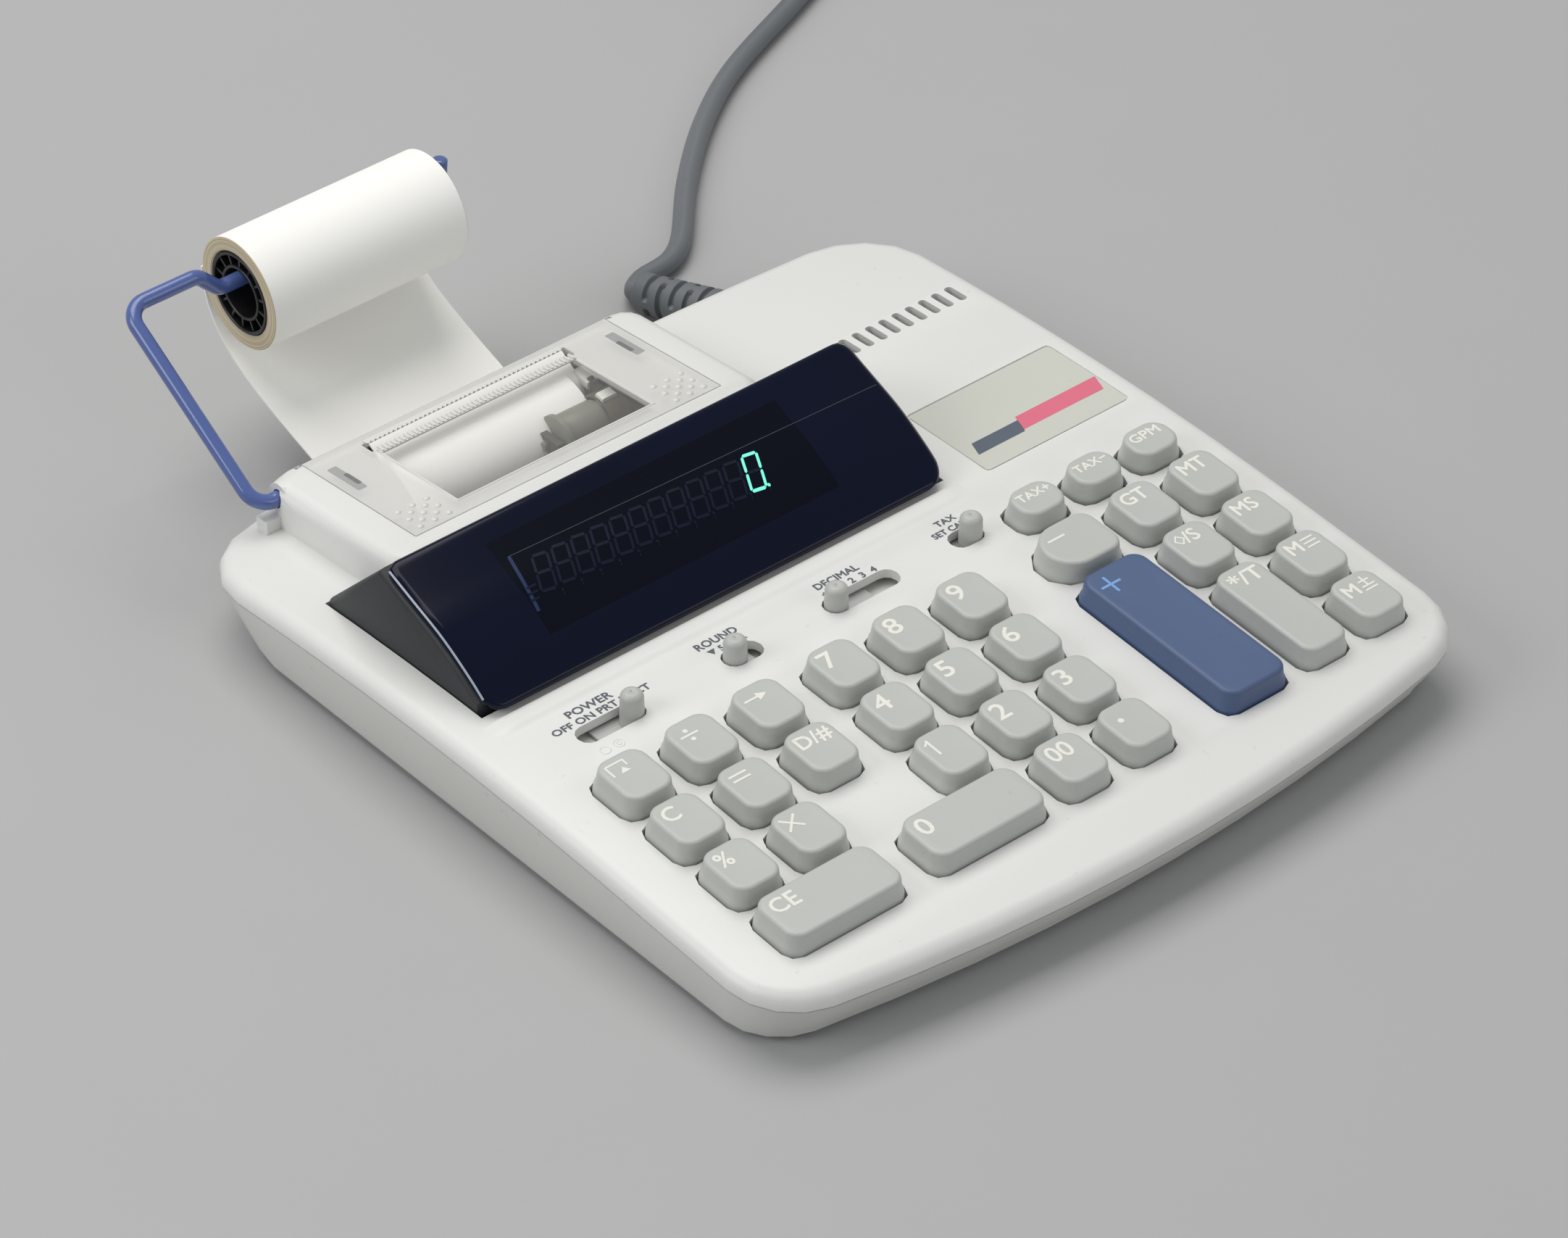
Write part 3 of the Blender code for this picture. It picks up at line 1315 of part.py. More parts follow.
# Cord: a run on the ground from the relief to the coil
exit_point = relief_base + relief_direction * (relief_length + gap)
cord_knots = [exit_point, exit_point + relief_direction * cord_radius / 2]
for x, y, z in cord_route:
    cord_knots.append(Vector((x, y + back_y - cord_route_back_edge, max(z, cord_radius))))
heading = Vector((0.914, 0.405, 0.0)).normalized()
coil_pitch = 2 * cord_radius + cord_gap
coil_outer = coil_middle_radius + coil_pitch * (coil_turns_per_layer - 1) / 2
coil_entry = cord_knots[-1] + heading * cord_tail_run
cord_knots.append(coil_entry - heading * (cord_tail_run / 2))
cord_knots.append(coil_entry)


def smooth_cord(knots, spacing, fine_run):
    """Evenly spaced points of a smooth curve, twice as close over the first bend."""
    dense = smooth_through(knots, 12)
    total = sum((b - a).length for a, b in zip(dense, dense[1:]))
    fine_count = int(round(2 * fine_run / spacing))
    coarse_count = int(round((total - fine_run) / spacing))
    stations = [fine_run * k / fine_count for k in range(fine_count)]
    stations += [fine_run + (total - fine_run) * k / coarse_count for k in range(coarse_count + 1)]
    points = []
    walked = 0.0
    index = 0
    for target in stations:
        while index < len(dense) - 2 and walked + (dense[index + 1] - dense[index]).length < target:
            walked += (dense[index + 1] - dense[index]).length
            index += 1
        span = (dense[index + 1] - dense[index]).length
        t = min(max((target - walked) / span, 0.0), 1.0)
        points.append(dense[index].lerp(dense[index + 1], t))
    return points


cord_points = [exit_point] + smooth_cord(cord_knots[1:], 2.2 * cord_radius, cord_bend_run)
cord_run = tube_object("cord_run", cord_points, cord_radius, 2, cord_grey)

# Coil: spirals in along the ground, climbs a layer and spirals out again on top
left_of_heading = Vector((-heading.y, heading.x, 0.0))
coil_start = coil_entry + heading * (gap + 2 * cord_radius)
coil_centre = coil_start + left_of_heading * coil_outer
start_angle = math.atan2(-left_of_heading.y, -left_of_heading.x)
coil_points = []
turns = coil_turns_per_layer
steps_per_layer = int((turns - 0.25) * coil_points_per_turn)
climb_steps = coil_points_per_turn // 2
total_steps = 2 * steps_per_layer + climb_steps
inner_radius = coil_outer - coil_pitch * steps_per_layer / coil_points_per_turn
layer_rise = coil_pitch
for k in range(total_steps + 1):
    angle = start_angle + math.tau * k / coil_points_per_turn
    if k <= steps_per_layer:
        radius = coil_outer - coil_pitch * k / coil_points_per_turn
        height = 0.0
    elif k <= steps_per_layer + climb_steps:
        share = (k - steps_per_layer) / climb_steps
        turned = (k - steps_per_layer) / coil_points_per_turn
        radius = inner_radius - coil_pitch * min(turned, climb_steps / coil_points_per_turn - turned)
        height = layer_rise * (3 * share ** 2 - 2 * share ** 3)
    else:
        radius = inner_radius + coil_pitch * (k - steps_per_layer - climb_steps) / coil_points_per_turn
        height = layer_rise
    centre_height = cord_radius + height
    coil_points.append(Vector((coil_centre.x + radius * math.cos(angle),
                               coil_centre.y + radius * math.sin(angle), centre_height)))
last_angle = start_angle + math.tau * total_steps / coil_points_per_turn
tail_dir = Vector((-math.sin(last_angle), math.cos(last_angle), 0.0))
coil_points.insert(0, coil_entry + heading * gap)
coil_points.append(coil_points[-1] + tail_dir * coil_tail)
coil = tube_object("cord_coil", coil_points, cord_radius, 1, cord_grey)
least = 1.0
for i in range(len(coil_points)):
    for j in range(i + coil_points_per_turn // 2, len(coil_points)):
        least = min(least, (coil_points[i] - coil_points[j]).length - 2 * cord_radius)
print("least gap of the coil to itself, mm:", round(least * 1000, 3))

# Plug at the free end of the coil, lying on the ground
plug_start = coil_points[-1] + tail_dir * gap
plug_side = Vector((-tail_dir.y, tail_dir.x, 0.0))
plug_half_height = plug_start.z
plug_stations = ((0.0, 0.34), (0.18, 0.42), (0.45, 0.8), (0.62, 1.0), (1.0, 1.0))
plug_rings = []
for along_share, size_share in plug_stations:
    centre = plug_start + tail_dir * (plug_length * along_share)
    half_w = plug_width / 2 * size_share
    half_h = plug_half_height * max(size_share * 0.8, 0.36) if size_share < 1 else plug_half_height
    radius = min(half_w, half_h) * 0.6
    section = rounded_ring(-half_w, half_w, -half_h, half_h, radius, 3)
    plug_rings.append([centre + plug_side * sx + Vector((0.0, 0.0, sz)) for sx, sz in section])
power_plug = new_object("power_plug", loft("power_plug", plug_rings), plug_plastic)
blade_parts = []
blade_base = plug_start + tail_dir * (plug_length - plug_blade_root)
for turn in (-1, 1):
    middle = blade_base + plug_side * (turn * plug_blade_spacing / 2)
    section = [(-plug_blade_thickness / 2, -plug_blade_width / 2), (plug_blade_thickness / 2, -plug_blade_width / 2),
               (plug_blade_thickness / 2, plug_blade_width / 2), (-plug_blade_thickness / 2, plug_blade_width / 2)]
    rings = []
    for reach in (0.0, plug_blade_length + plug_blade_root):
        rings.append([middle + tail_dir * reach + plug_side * sx + Vector((0.0, 0.0, sz)) for sx, sz in section])
    blade_parts.append(loft_data(rings))
blade_tool = cutter("plug_blades", join_data(blade_parts))
boolean(power_plug, blade_tool, "UNION")

bpy.context.view_layer.update()
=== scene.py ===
"""Looks of a printing desk calculator: moulded case, sprung keys, tinted display, printer under a clear
lid, paper roll on a wire arm and a twin mains cord. Metres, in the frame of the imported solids."""
import json
import math

import bpy
import bmesh
import numpy as np
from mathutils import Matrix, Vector
from mathutils.bvhtree import BVHTree


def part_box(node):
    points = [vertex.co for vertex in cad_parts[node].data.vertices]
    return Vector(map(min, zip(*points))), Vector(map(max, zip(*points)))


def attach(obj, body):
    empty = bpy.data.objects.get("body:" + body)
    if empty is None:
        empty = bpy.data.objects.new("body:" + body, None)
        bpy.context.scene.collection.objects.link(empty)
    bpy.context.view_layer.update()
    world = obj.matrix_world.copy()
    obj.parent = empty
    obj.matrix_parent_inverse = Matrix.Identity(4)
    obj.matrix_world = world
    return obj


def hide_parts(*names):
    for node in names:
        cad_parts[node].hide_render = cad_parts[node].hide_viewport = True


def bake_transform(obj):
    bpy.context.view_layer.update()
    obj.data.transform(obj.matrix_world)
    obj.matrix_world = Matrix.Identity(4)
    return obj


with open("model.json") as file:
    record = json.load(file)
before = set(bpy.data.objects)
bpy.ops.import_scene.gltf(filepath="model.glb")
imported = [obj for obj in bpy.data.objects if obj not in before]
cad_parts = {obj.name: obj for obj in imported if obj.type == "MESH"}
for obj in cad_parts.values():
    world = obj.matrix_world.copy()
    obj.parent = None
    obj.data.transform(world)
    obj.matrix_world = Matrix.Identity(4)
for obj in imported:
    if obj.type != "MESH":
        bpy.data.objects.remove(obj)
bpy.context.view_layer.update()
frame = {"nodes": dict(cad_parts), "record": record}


MM = 0.001

# ---- camera, light and floor
# The camera comes first: its place and angle follow the photograph.
VIEW_FROM = Vector((-768.15, -911.66, 921.0)) * MM
VIEW_ALONG = Vector((0.5118, 0.6016, -0.6133)).normalized()
camera_data = bpy.data.cameras.new("photo_camera")
camera_data.lens = 149.72
camera_data.sensor_width = 36.0
camera_data.clip_end = 20.0
camera = bpy.data.objects.new("photo_camera", camera_data)
camera.location = VIEW_FROM
camera.rotation_euler = VIEW_ALONG.to_track_quat("-Z", "Y").to_euler()
bpy.context.scene.collection.objects.link(camera)
bpy.context.scene.camera = camera
bpy.context.scene.view_settings.view_transform = "Standard"


def soft_box(name, place, aim, size, power, colour):
    """A rectangular area light that faces its aim."""
    light = bpy.data.lights.new(name, "AREA")
    light.shape = "RECTANGLE"
    light.size, light.size_y = size
    light.energy = power
    light.color = colour
    lamp = bpy.data.objects.new(name, light)
    lamp.location = place
    lamp.rotation_euler = (Vector(aim) - Vector(place)).to_track_quat("-Z", "Y").to_euler()
    bpy.context.scene.collection.objects.link(lamp)


soft_box("overhead_box", (0.05, 0.55, 1.55), (0.0, 0.0, 0.0), (1.5, 1.1), 17.0, (1.0, 0.985, 0.96))
soft_box("left_box", (-1.35, 0.35, 0.95), (-0.02, 0.0, 0.02), (0.9, 0.7), 7.0, (0.98, 0.99, 1.0))
soft_box("front_fill", (0.6, -1.5, 0.8), (0.0, 0.0, 0.0), (1.2, 0.8), 4.0, (0.97, 0.985, 1.0))
world = bpy.data.worlds.new("studio")
world.use_nodes = True
world.node_tree.nodes["Background"].inputs["Color"].default_value = (0.86, 0.88, 0.9, 1.0)
world.node_tree.nodes["Background"].inputs["Strength"].default_value = 0.42
bpy.context.scene.world = world


# ---- shared shader effects
def wire(tree, source, target):
    """Links an output to an input."""
    tree.links.new(source, target)


def add_node(tree, kind, **inputs):
    """A new shader node with the named inputs set."""
    node = tree.nodes.new("ShaderNode" + kind)
    for name, value in inputs.items():
        node.inputs[name].default_value = value
    return node


def object_axes(tree):
    """The X, Y and Z outputs of the Object coordinates."""
    parts = add_node(tree, "SeparateXYZ")
    wire(tree, add_node(tree, "TexCoord").outputs["Object"], parts.inputs[0])
    return parts.outputs


def raised(tree, height, strength, distance):
    """Carries a height to the shader's normal through a bump node."""
    bump = add_node(tree, "Bump", Strength=strength, Distance=distance)
    wire(tree, height, bump.inputs["Height"])
    wire(tree, bump.outputs["Normal"], tree.nodes["Principled BSDF"].inputs["Normal"])


def blank_material(name):
    """A new material: its node tree and its shader's inputs come with it."""
    mat = bpy.data.materials.new(name)
    mat.use_nodes = True
    return mat, mat.node_tree, mat.node_tree.nodes["Principled BSDF"].inputs


def maths(tree, operation, a, b=None, clamp=False):
    """One maths node; a and b are sockets or numbers."""
    node = tree.nodes.new("ShaderNodeMath")
    node.operation = operation
    node.use_clamp = clamp
    for slot, value in ((0, a), (1, b)):
        if value is None:
            continue
        if isinstance(value, (int, float)):
            node.inputs[slot].default_value = value
        else:
            tree.links.new(value, node.inputs[slot])
    return node.outputs[0]


SPECK_EDGE, SPECK_STEEP = 0.745, 9.0
TINT_SHARE = 0.86
COAT_ROUGH = 0.08


def moulded_group():
    """Moulded plastic: broad mottling of the colour, a fine grain in height and gloss, rare dark specks."""
    tree = bpy.data.node_groups.new("moulded_surface", "ShaderNodeTree")
    grey = (0.5, 0.5, 0.5, 1.0)
    for name, kind, value in (("Colour", "Color", grey), ("Tint", "Color", grey), ("Mottle", "Float", 0.5),
                              ("Grain scale", "Float", 1500.0), ("Specks", "Float", 0.3),
                              ("Roughness", "Float", 0.4), ("Gloss spread", "Float", 0.08)):
        tree.interface.new_socket(name=name, in_out="INPUT", socket_type="NodeSocket" + kind).default_value = value
    for name, kind in (("Colour", "Color"), ("Roughness", "Float"), ("Height", "Float")):
        tree.interface.new_socket(name=name, in_out="OUTPUT", socket_type="NodeSocket" + kind)
    inputs = tree.nodes.new("NodeGroupInput").outputs
    outputs = tree.nodes.new("NodeGroupOutput").inputs
    place = add_node(tree, "TexCoord").outputs["Object"]
    broad = add_node(tree, "TexNoise", Scale=22.0, Detail=5.0)
    fine = add_node(tree, "TexNoise", Detail=2.0)
    speck = add_node(tree, "TexNoise", Scale=420.0, Detail=1.0)
    for noise in (broad, fine, speck):
        wire(tree, place, noise.inputs["Vector"])
    wire(tree, inputs["Grain scale"], fine.inputs["Scale"])
    mix, dark = add_node(tree, "Mix"), add_node(tree, "Mix")
    mix.data_type = dark.data_type = "RGBA"
    dark.blend_type = "MULTIPLY"
    dark.inputs["B"].default_value = (0.35, 0.33, 0.3, 1.0)
    wire(tree, maths(tree, "MULTIPLY", broad.outputs["Fac"], inputs["Mottle"], True), mix.inputs["Factor"])
    wire(tree, inputs["Colour"], mix.inputs["A"])
    wire(tree, inputs["Tint"], mix.inputs["B"])
    spots = maths(tree, "MULTIPLY", maths(tree, "SUBTRACT", speck.outputs["Fac"], SPECK_EDGE), SPECK_STEEP, True)
    wire(tree, maths(tree, "MULTIPLY", spots, inputs["Specks"], True), dark.inputs["Factor"])
    wire(tree, mix.outputs["Result"], dark.inputs["A"])
    wire(tree, dark.outputs["Result"], outputs["Colour"])
    gloss = inputs["Roughness"]
    for noise in (fine, broad):
        swing = maths(tree, "MULTIPLY", maths(tree, "SUBTRACT", noise.outputs["Fac"], 0.5), inputs["Gloss spread"])
        gloss = maths(tree, "ADD", gloss, swing)
    wire(tree, gloss, outputs["Roughness"])
    wire(tree, fine.outputs["Fac"], outputs["Height"])
    return tree


MOULDED = moulded_group()


def srgb(*levels):
    """Linear colour of a photographed 0 to 255 colour."""
    out = []
    for level in levels:
        c = level / 255.0
        out.append(c / 12.92 if c <= 0.04045 else ((c + 0.055) / 1.055) ** 2.4)
    return tuple(out)


def finish(name, colour, rough, tint=None, mottle=0.5, grain=1500.0, specks=0.25, spread=0.08, bump=0.08,
           depth=0.00004, metal=0.0, coat=0.0, glow=None, sheen=0.5):
    """Principled material whose colour, gloss and grain come from the moulded-surface group. Colours are
    photographed 0 to 255 values; without a tint the mottling darkens the colour."""
    mat, tree, shader = blank_material(name)
    group = tree.nodes.new("ShaderNodeGroup")
    group.node_tree = MOULDED
    base = srgb(*colour)
    tinted = srgb(*tint) if tint else tuple(TINT_SHARE * c for c in base)
    for label, value in (("Colour", (*base, 1.0)), ("Tint", (*tinted, 1.0)), ("Mottle", mottle),
                         ("Grain scale", grain), ("Specks", specks), ("Roughness", rough), ("Gloss spread", spread)):
        group.inputs[label].default_value = value
    wire(tree, group.outputs["Colour"], shader["Base Color"])
    wire(tree, group.outputs["Roughness"], shader["Roughness"])
    if bump:
        raised(tree, group.outputs["Height"], bump, depth)
    for label, value in (("Metallic", metal), ("Coat Weight", coat), ("Specular IOR Level", sheen),
                         ("Coat Roughness", COAT_ROUGH)):
        shader[label].default_value = value
    if glow:
        shader["Emission Color"].default_value = (*srgb(*glow), 1.0)
        shader["Emission Strength"].default_value = 1.0
    return mat


FLAT = {"specks": 0.0, "bump": 0.0}
CASE = finish("case_ivory", (227, 227, 224), 0.38, (220, 219, 214), grain=2600.0, specks=0.22, bump=0.05)
UNDER = finish("case_lower_ivory", (222, 221, 217), 0.42, (211, 209, 203), grain=2600.0, specks=0.3)
KEY = finish("key_grey", (189, 191, 186), 0.42, (179, 181, 175), grain=2100.0, specks=0.15, bump=0.1)
KEY_BLUE = finish("key_blue", (76, 95, 132), 0.42, (67, 86, 124), grain=2100.0, specks=0.2, bump=0.16)
LEGEND = finish("legend_ivory", (238, 236, 226), 0.5, grain=900.0, **FLAT)
LEGEND_BLUE = finish("legend_blue", (120, 165, 225), 0.45, grain=900.0, **FLAT)
LEGEND_DARK = finish("legend_slate", (88, 94, 102), 0.55, grain=900.0, **FLAT)
HOUSING = finish("housing_black", (44, 47, 50), 0.5, (36, 39, 43), grain=1800.0, bump=0.2)
WINDOW = finish("window_navy", (5, 9, 26), 0.09, (9, 16, 44), mottle=0.9, spread=0.02, sheen=0.18, **FLAT)
WINDOW_INNER = finish("display_field", (4, 7, 20), 0.1, (6, 10, 28), spread=0.02, sheen=0.16, **FLAT)
# Narrow blue strip at the window's left end: a painted reflection
WINDOW_REFLECTION_BAR = finish("display_edge_painted_reflection", (32, 56, 100), 0.12, (16, 26, 56), mottle=1.0, **FLAT)
CELL = finish("digit_unlit", (18, 25, 44), 0.2, spread=0.02, **FLAT, sheen=0.18)
LIT = finish("digit_lit", (60, 130, 115), 0.4, **FLAT, glow=(118, 238, 212))
# Light line on the window's fold: a painted reflection
CREASE_PAINTED_GLINT = finish("window_crease_painted_glint", (66, 70, 82), 0.2, **FLAT)
SLIDER = finish("slider_grey", (186, 187, 183), 0.4, (176, 177, 172), grain=2300.0, specks=0.2)
ARM = finish("arm_blue", (84, 104, 164), 0.2, (74, 94, 154), mottle=0.7, grain=420.0, specks=0.35, spread=0.06,
             bump=0.06, depth=0.0002, coat=0.5)
PLATEN = finish("platen_rubber", (46, 46, 47), 0.7, grain=900.0, bump=0.3)
DARK = finish("mechanism_dark", (52, 50, 47), 0.55, (66, 58, 46), mottle=0.8, grain=1200.0, bump=0.2)
BROWN = finish("gear_brown", (92, 80, 64), 0.5, (70, 60, 48), mottle=0.8, grain=1200.0, bump=0.2)
OLIVE = finish("ink_olive", (128, 127, 116), 0.45, (112, 112, 100), mottle=0.8, grain=1300.0, specks=0.5)
WHITE = finish("lever_white", (226, 226, 220), 0.4, grain=1600.0)
BOARD = finish("board_green", (50, 92, 62), 0.45, (40, 78, 52), grain=700.0, bump=0.1)
RUBBER = finish("foot_rubber", (58, 58, 60), 0.8, grain=1100.0, bump=0.35, depth=0.0001)
CORD = finish("cord_grey", (112, 116, 120), 0.46, (98, 103, 108), mottle=0.8, grain=900.0, specks=0.4,
              spread=0.12, bump=0.15, depth=0.0001)
RELIEF = finish("relief_grey", (108, 112, 116), 0.5, (96, 100, 104), grain=1100.0, specks=0.3, bump=0.15)
BRASS = finish("blade_nickel", (190, 186, 176), 0.28, grain=300.0, specks=0.1, metal=1.0, bump=0.05)
CORE = finish("core_black", (26, 26, 28), 0.38, grain=1300.0, bump=0.15)
TUBE = finish("tube_glass", (20, 24, 30), 0.1, **FLAT)
PLATE = finish("label_plate", (205, 206, 196), 0.42, (196, 197, 186), grain=1700.0, specks=0.2, bump=0.06)
BAND_DARK = finish("label_band_slate", (86, 96, 110), 0.45, grain=1700.0, bump=0.0)
BAND_ROSE = finish("label_band_rose", (226, 110, 134), 0.45, grain=1700.0, bump=0.0)
PAPER = finish("paper_white", (251, 250, 246), 0.82, (248, 246, 240), mottle=0.6, grain=3200.0, specks=0.05,
               spread=0.05, bump=0.12, depth=0.00005)

ROLL_LOW, ROLL_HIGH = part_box("paper_roll")
ROLL_CENTRE = (ROLL_LOW + ROLL_HIGH) / 2


def roll_end_finish():
    """Wound paper edges: rings round the roll's axis, tan and cream by turns, with a gloss that varies by ring."""
    mat, tree, shader = blank_material("paper_layers")
    axes = object_axes(tree)
    dy = maths(tree, "SUBTRACT", axes["Y"], ROLL_CENTRE.y)
    dz = maths(tree, "SUBTRACT", axes["Z"], ROLL_CENTRE.z)
    radius = maths(tree, "SQRT", maths(tree, "ADD", maths(tree, "MULTIPLY", dy, dy), maths(tree, "MULTIPLY", dz, dz)))
    rings = add_node(tree, "TexNoise")
    rings.noise_dimensions = "1D"
    rings.inputs["Scale"].default_value = 3200.0
    rings.inputs["Detail"].default_value = 3.0
    wire(tree, radius, rings.inputs["W"])
    ramp = add_node(tree, "ValToRGB")
    for stop, position, colour in zip(ramp.color_ramp.elements, (0.3, 0.72), ((176, 158, 124), (226, 215, 190))):
        stop.position = position
        stop.color = (*srgb(*colour), 1.0)
    wire(tree, rings.outputs["Fac"], ramp.inputs["Fac"])
    wire(tree, ramp.outputs["Color"], shader["Base Color"])
    raised(tree, rings.outputs["Fac"], 0.4, 0.0001)
    wire(tree, maths(tree, "ADD", maths(tree, "MULTIPLY", rings.outputs["Fac"], 0.1), 0.72), shader["Roughness"])
    return mat


LAYERS = roll_end_finish()


LID_LOW, LID_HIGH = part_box("printer_cover")
# The clear window and the tear slot of the lid: left, right, front and back
LID_CLEAR = (-0.0555, 0.0022, LID_LOW.y + 0.0050, LID_HIGH.y - 0.0031)
SLOT = (-0.05617, 0.00287, LID_HIGH.y - 0.0085, LID_HIGH.y - 0.0037)
LID_SOFT, LID_SOLID, LID_CLEARING = 0.0006, 0.62, 0.55


def lid_finish():
    """Clear lid: nearly clear over the window, milky on the end panels, the front bar and the back strip."""
    mat = finish("lid_clear", (246, 245, 241), 0.22, (236, 235, 230), grain=2200.0, specks=0.2, spread=0.05, bump=0.03)
    tree = mat.node_tree
    axes = object_axes(tree)
    clear = 1.0
    for axis, edge, sign in (("X", LID_CLEAR[0], 1.0), ("X", LID_CLEAR[1], -1.0), ("Y", LID_CLEAR[2], 1.0),
                             ("Y", LID_CLEAR[3], -1.0)):
        beyond = maths(tree, "MULTIPLY", maths(tree, "SUBTRACT", axes[axis], edge), sign / LID_SOFT)
        clear = maths(tree, "MULTIPLY", clear, maths(tree, "ADD", beyond, 0.5, True))
    solid = maths(tree, "SUBTRACT", LID_SOLID, maths(tree, "MULTIPLY", clear, LID_CLEARING))
    wire(tree, solid, tree.nodes["Principled BSDF"].inputs["Alpha"])
    return mat


LID = lid_finish()
MILKY = finish("lid_milky", (222, 221, 216), 0.25, grain=2200.0, specks=0.1, bump=0.02)
# Grey of the painted latch shadows on the lid
SHADE = finish("lid_latch_shadow", (176, 176, 173), 0.4, (150, 150, 148), mottle=1.0, specks=0.3, bump=0.0)
floor_finish = finish("floor_pale", (176, 176, 176), 0.6, (172, 172, 172), grain=300.0, **FLAT)

# Floor: a wide pale sheet just under the feet
FLOOR_HALF, FLOOR_DROP = 6.0, 0.00005
floor_mesh = bpy.data.meshes.new("floor")
floor_mesh.from_pydata([(x * FLOOR_HALF, y * FLOOR_HALF, 0.0) for x, y in ((-1, -1), (1, -1), (1, 1), (-1, 1))], [],
                       [(0, 1, 2, 3)])
floor_mesh.materials.append(floor_finish)
floor = bpy.data.objects.new("floor", floor_mesh)
floor.location = (0.0, 0.0, -FLOOR_DROP)
bpy.context.scene.collection.objects.link(floor)


# ---- making pieces
def placed(name, mesh, mats, smooth):
    """Puts a mesh in the scene as a piece, shaded smooth up to this angle in degrees."""
    mesh.shade_smooth()
    mesh.set_sharp_from_angle(angle=math.radians(smooth))
    mesh.materials.clear()
    for mat in (mats if isinstance(mats, tuple) else (mats,)):
        mesh.materials.append(mat)
    piece = bpy.data.objects.new(name, mesh)
    bpy.context.scene.collection.objects.link(piece)
    return piece


def add_piece(name, verts, faces, mat, body="case", slot_name=None, smooth=38.0, replaced=()):
    """A mesh piece at the origin that rides on a body."""
    mesh = bpy.data.meshes.new(name)
    mesh.from_pydata(np.asarray(verts, float).reshape(-1, 3).tolist(), [], [tuple(int(i) for i in f) for f in faces])
    mesh.validate()
    solid = bmesh.new()
    solid.from_mesh(mesh)
    bmesh.ops.recalc_face_normals(solid, faces=solid.faces)
    solid.to_mesh(mesh)
    solid.free()
    piece = placed(name, mesh, mat, smooth)
    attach(piece, body)
    if replaced:
        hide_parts(*replaced)
    return piece


def refined(node, name, mat, body, smooth=30.0):
    """A copy of a solid with its loose triangles merged and its rounds shaded smooth; it stands for the solid."""
    mesh = frame["nodes"][node].data.copy()
    mesh.name = name
    work = bmesh.new()
    work.from_mesh(mesh)
    bmesh.ops.remove_doubles(work, verts=work.verts, dist=0.000002)
    bmesh.ops.dissolve_degenerate(work, edges=work.edges, dist=0.000001)
    work.to_mesh(mesh)
    work.free()
    if mesh.has_custom_normals:
        mesh.attributes.remove(mesh.attributes["custom_normal"])
    piece = placed(name, mesh, mat, smooth)
    if body:
        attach(piece, body)
    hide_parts(node)
    return piece


UP = np.array([0.0, 0.0, 1.0])


def unit(vector):
    """The same direction, one long."""
    return vector / np.linalg.norm(vector)


def full_turn(count):
    """Angles of count points round a circle."""
    return np.arange(count) * math.tau / count


def grid_faces(rows, cols, close_cols=True):
    """Quads of a rows by cols grid of points, as one array; the columns may close on themselves."""
    r = np.arange(rows - 1)[:, None]
    c = np.arange(cols if close_cols else cols - 1)[None, :]
    n = (c + 1) % cols
    a, b = r * cols + c, r * cols + n
    return np.stack([a, b, b + cols, a + cols], -1).reshape(-1, 4)


def skin(rings):
    """Closed surface through rings, an array (levels, points, 3); each end closes on its ring's middle."""
    levels, count, _ = rings.shape
    i = np.arange(count)
    j = (i + 1) % count
    last = (levels - 1) * count
    middle = np.full(count, levels * count)
    faces = (grid_faces(levels, count).tolist() + np.stack([j, i, middle], -1).tolist()
             + np.stack([last + i, last + j, middle + 1], -1).tolist())
    return np.concatenate([rings.reshape(-1, 3), [rings[0].mean(0), rings[-1].mean(0)]]), faces


def hoop(rings):
    """Ring-shaped surface through rings, an array (levels, points, 3): the last joins the first."""
    levels, count, _ = rings.shape
    i = np.arange(count)
    j = (i + 1) % count
    last = (levels - 1) * count
    return rings.reshape(-1, 3), grid_faces(levels, count).tolist() + np.stack([last + i, last + j, j, i], -1).tolist()


def merged(parts):
    """One list of points and faces from several (points, faces) pairs."""
    verts, faces, base = [], [], 0
    for part_verts, part_faces in parts:
        part_verts = np.asarray(part_verts, float).reshape(-1, 3)
        verts.append(part_verts)
        faces += [tuple(base + int(i) for i in face) for face in part_faces]
        base += len(part_verts)
    return np.concatenate(verts), faces


def closed_sheet(top, low):
    """Two grids of points (rows, cols, 3), one over the other, joined round their border."""
    rows, cols, _ = top.shape
    n = rows * cols
    quads = grid_faces(rows, cols, False)
    faces = quads.tolist() + (n + quads)[:, ::-1].tolist()
    border = np.concatenate([np.arange(cols), np.arange(1, rows) * cols + cols - 1,
                             (rows - 1) * cols + np.arange(cols - 2, -1, -1), np.arange(rows - 2, 0, -1) * cols])
    after = np.roll(border, -1)
    faces += np.stack([border, border + n, after + n, after], -1).tolist()
    return np.concatenate([top.reshape(-1, 3), low.reshape(-1, 3)]), faces


def rounded_rectangle(half_x, half_y, radii, per_corner=8):
    """Outline of a rectangle with four corner radii (right front, right back, left back, left front)."""
    turn = np.linspace(0.0, math.pi / 2, per_corner)
    out = []
    for k, (sx, sy) in enumerate(((1, -1), (1, 1), (-1, 1), (-1, -1))):
        r = radii[k]
        angle = turn + math.pi / 2 * (k - 1)
        out.append(np.stack([sx * (half_x - r) + r * np.cos(angle), sy * (half_y - r) + r * np.sin(angle)], -1))
    return np.concatenate(out)


def rounded_between(x0, x1, y0, y1, radius, per_corner=4):
    """Outline of a rectangle from x0 to x1 and y0 to y1 with equal corner radii."""
    outline = rounded_rectangle((x1 - x0) / 2, (y1 - y0) / 2, (radius,) * 4, per_corner)
    return outline + np.array([(x0 + x1) / 2, (y0 + y1) / 2])


def at_heights(outline, heights):
    """Rings: a flat outline at each height, a number or one value a point."""
    return np.stack([np.column_stack([outline, np.broadcast_to(z, len(outline))]) for z in heights])


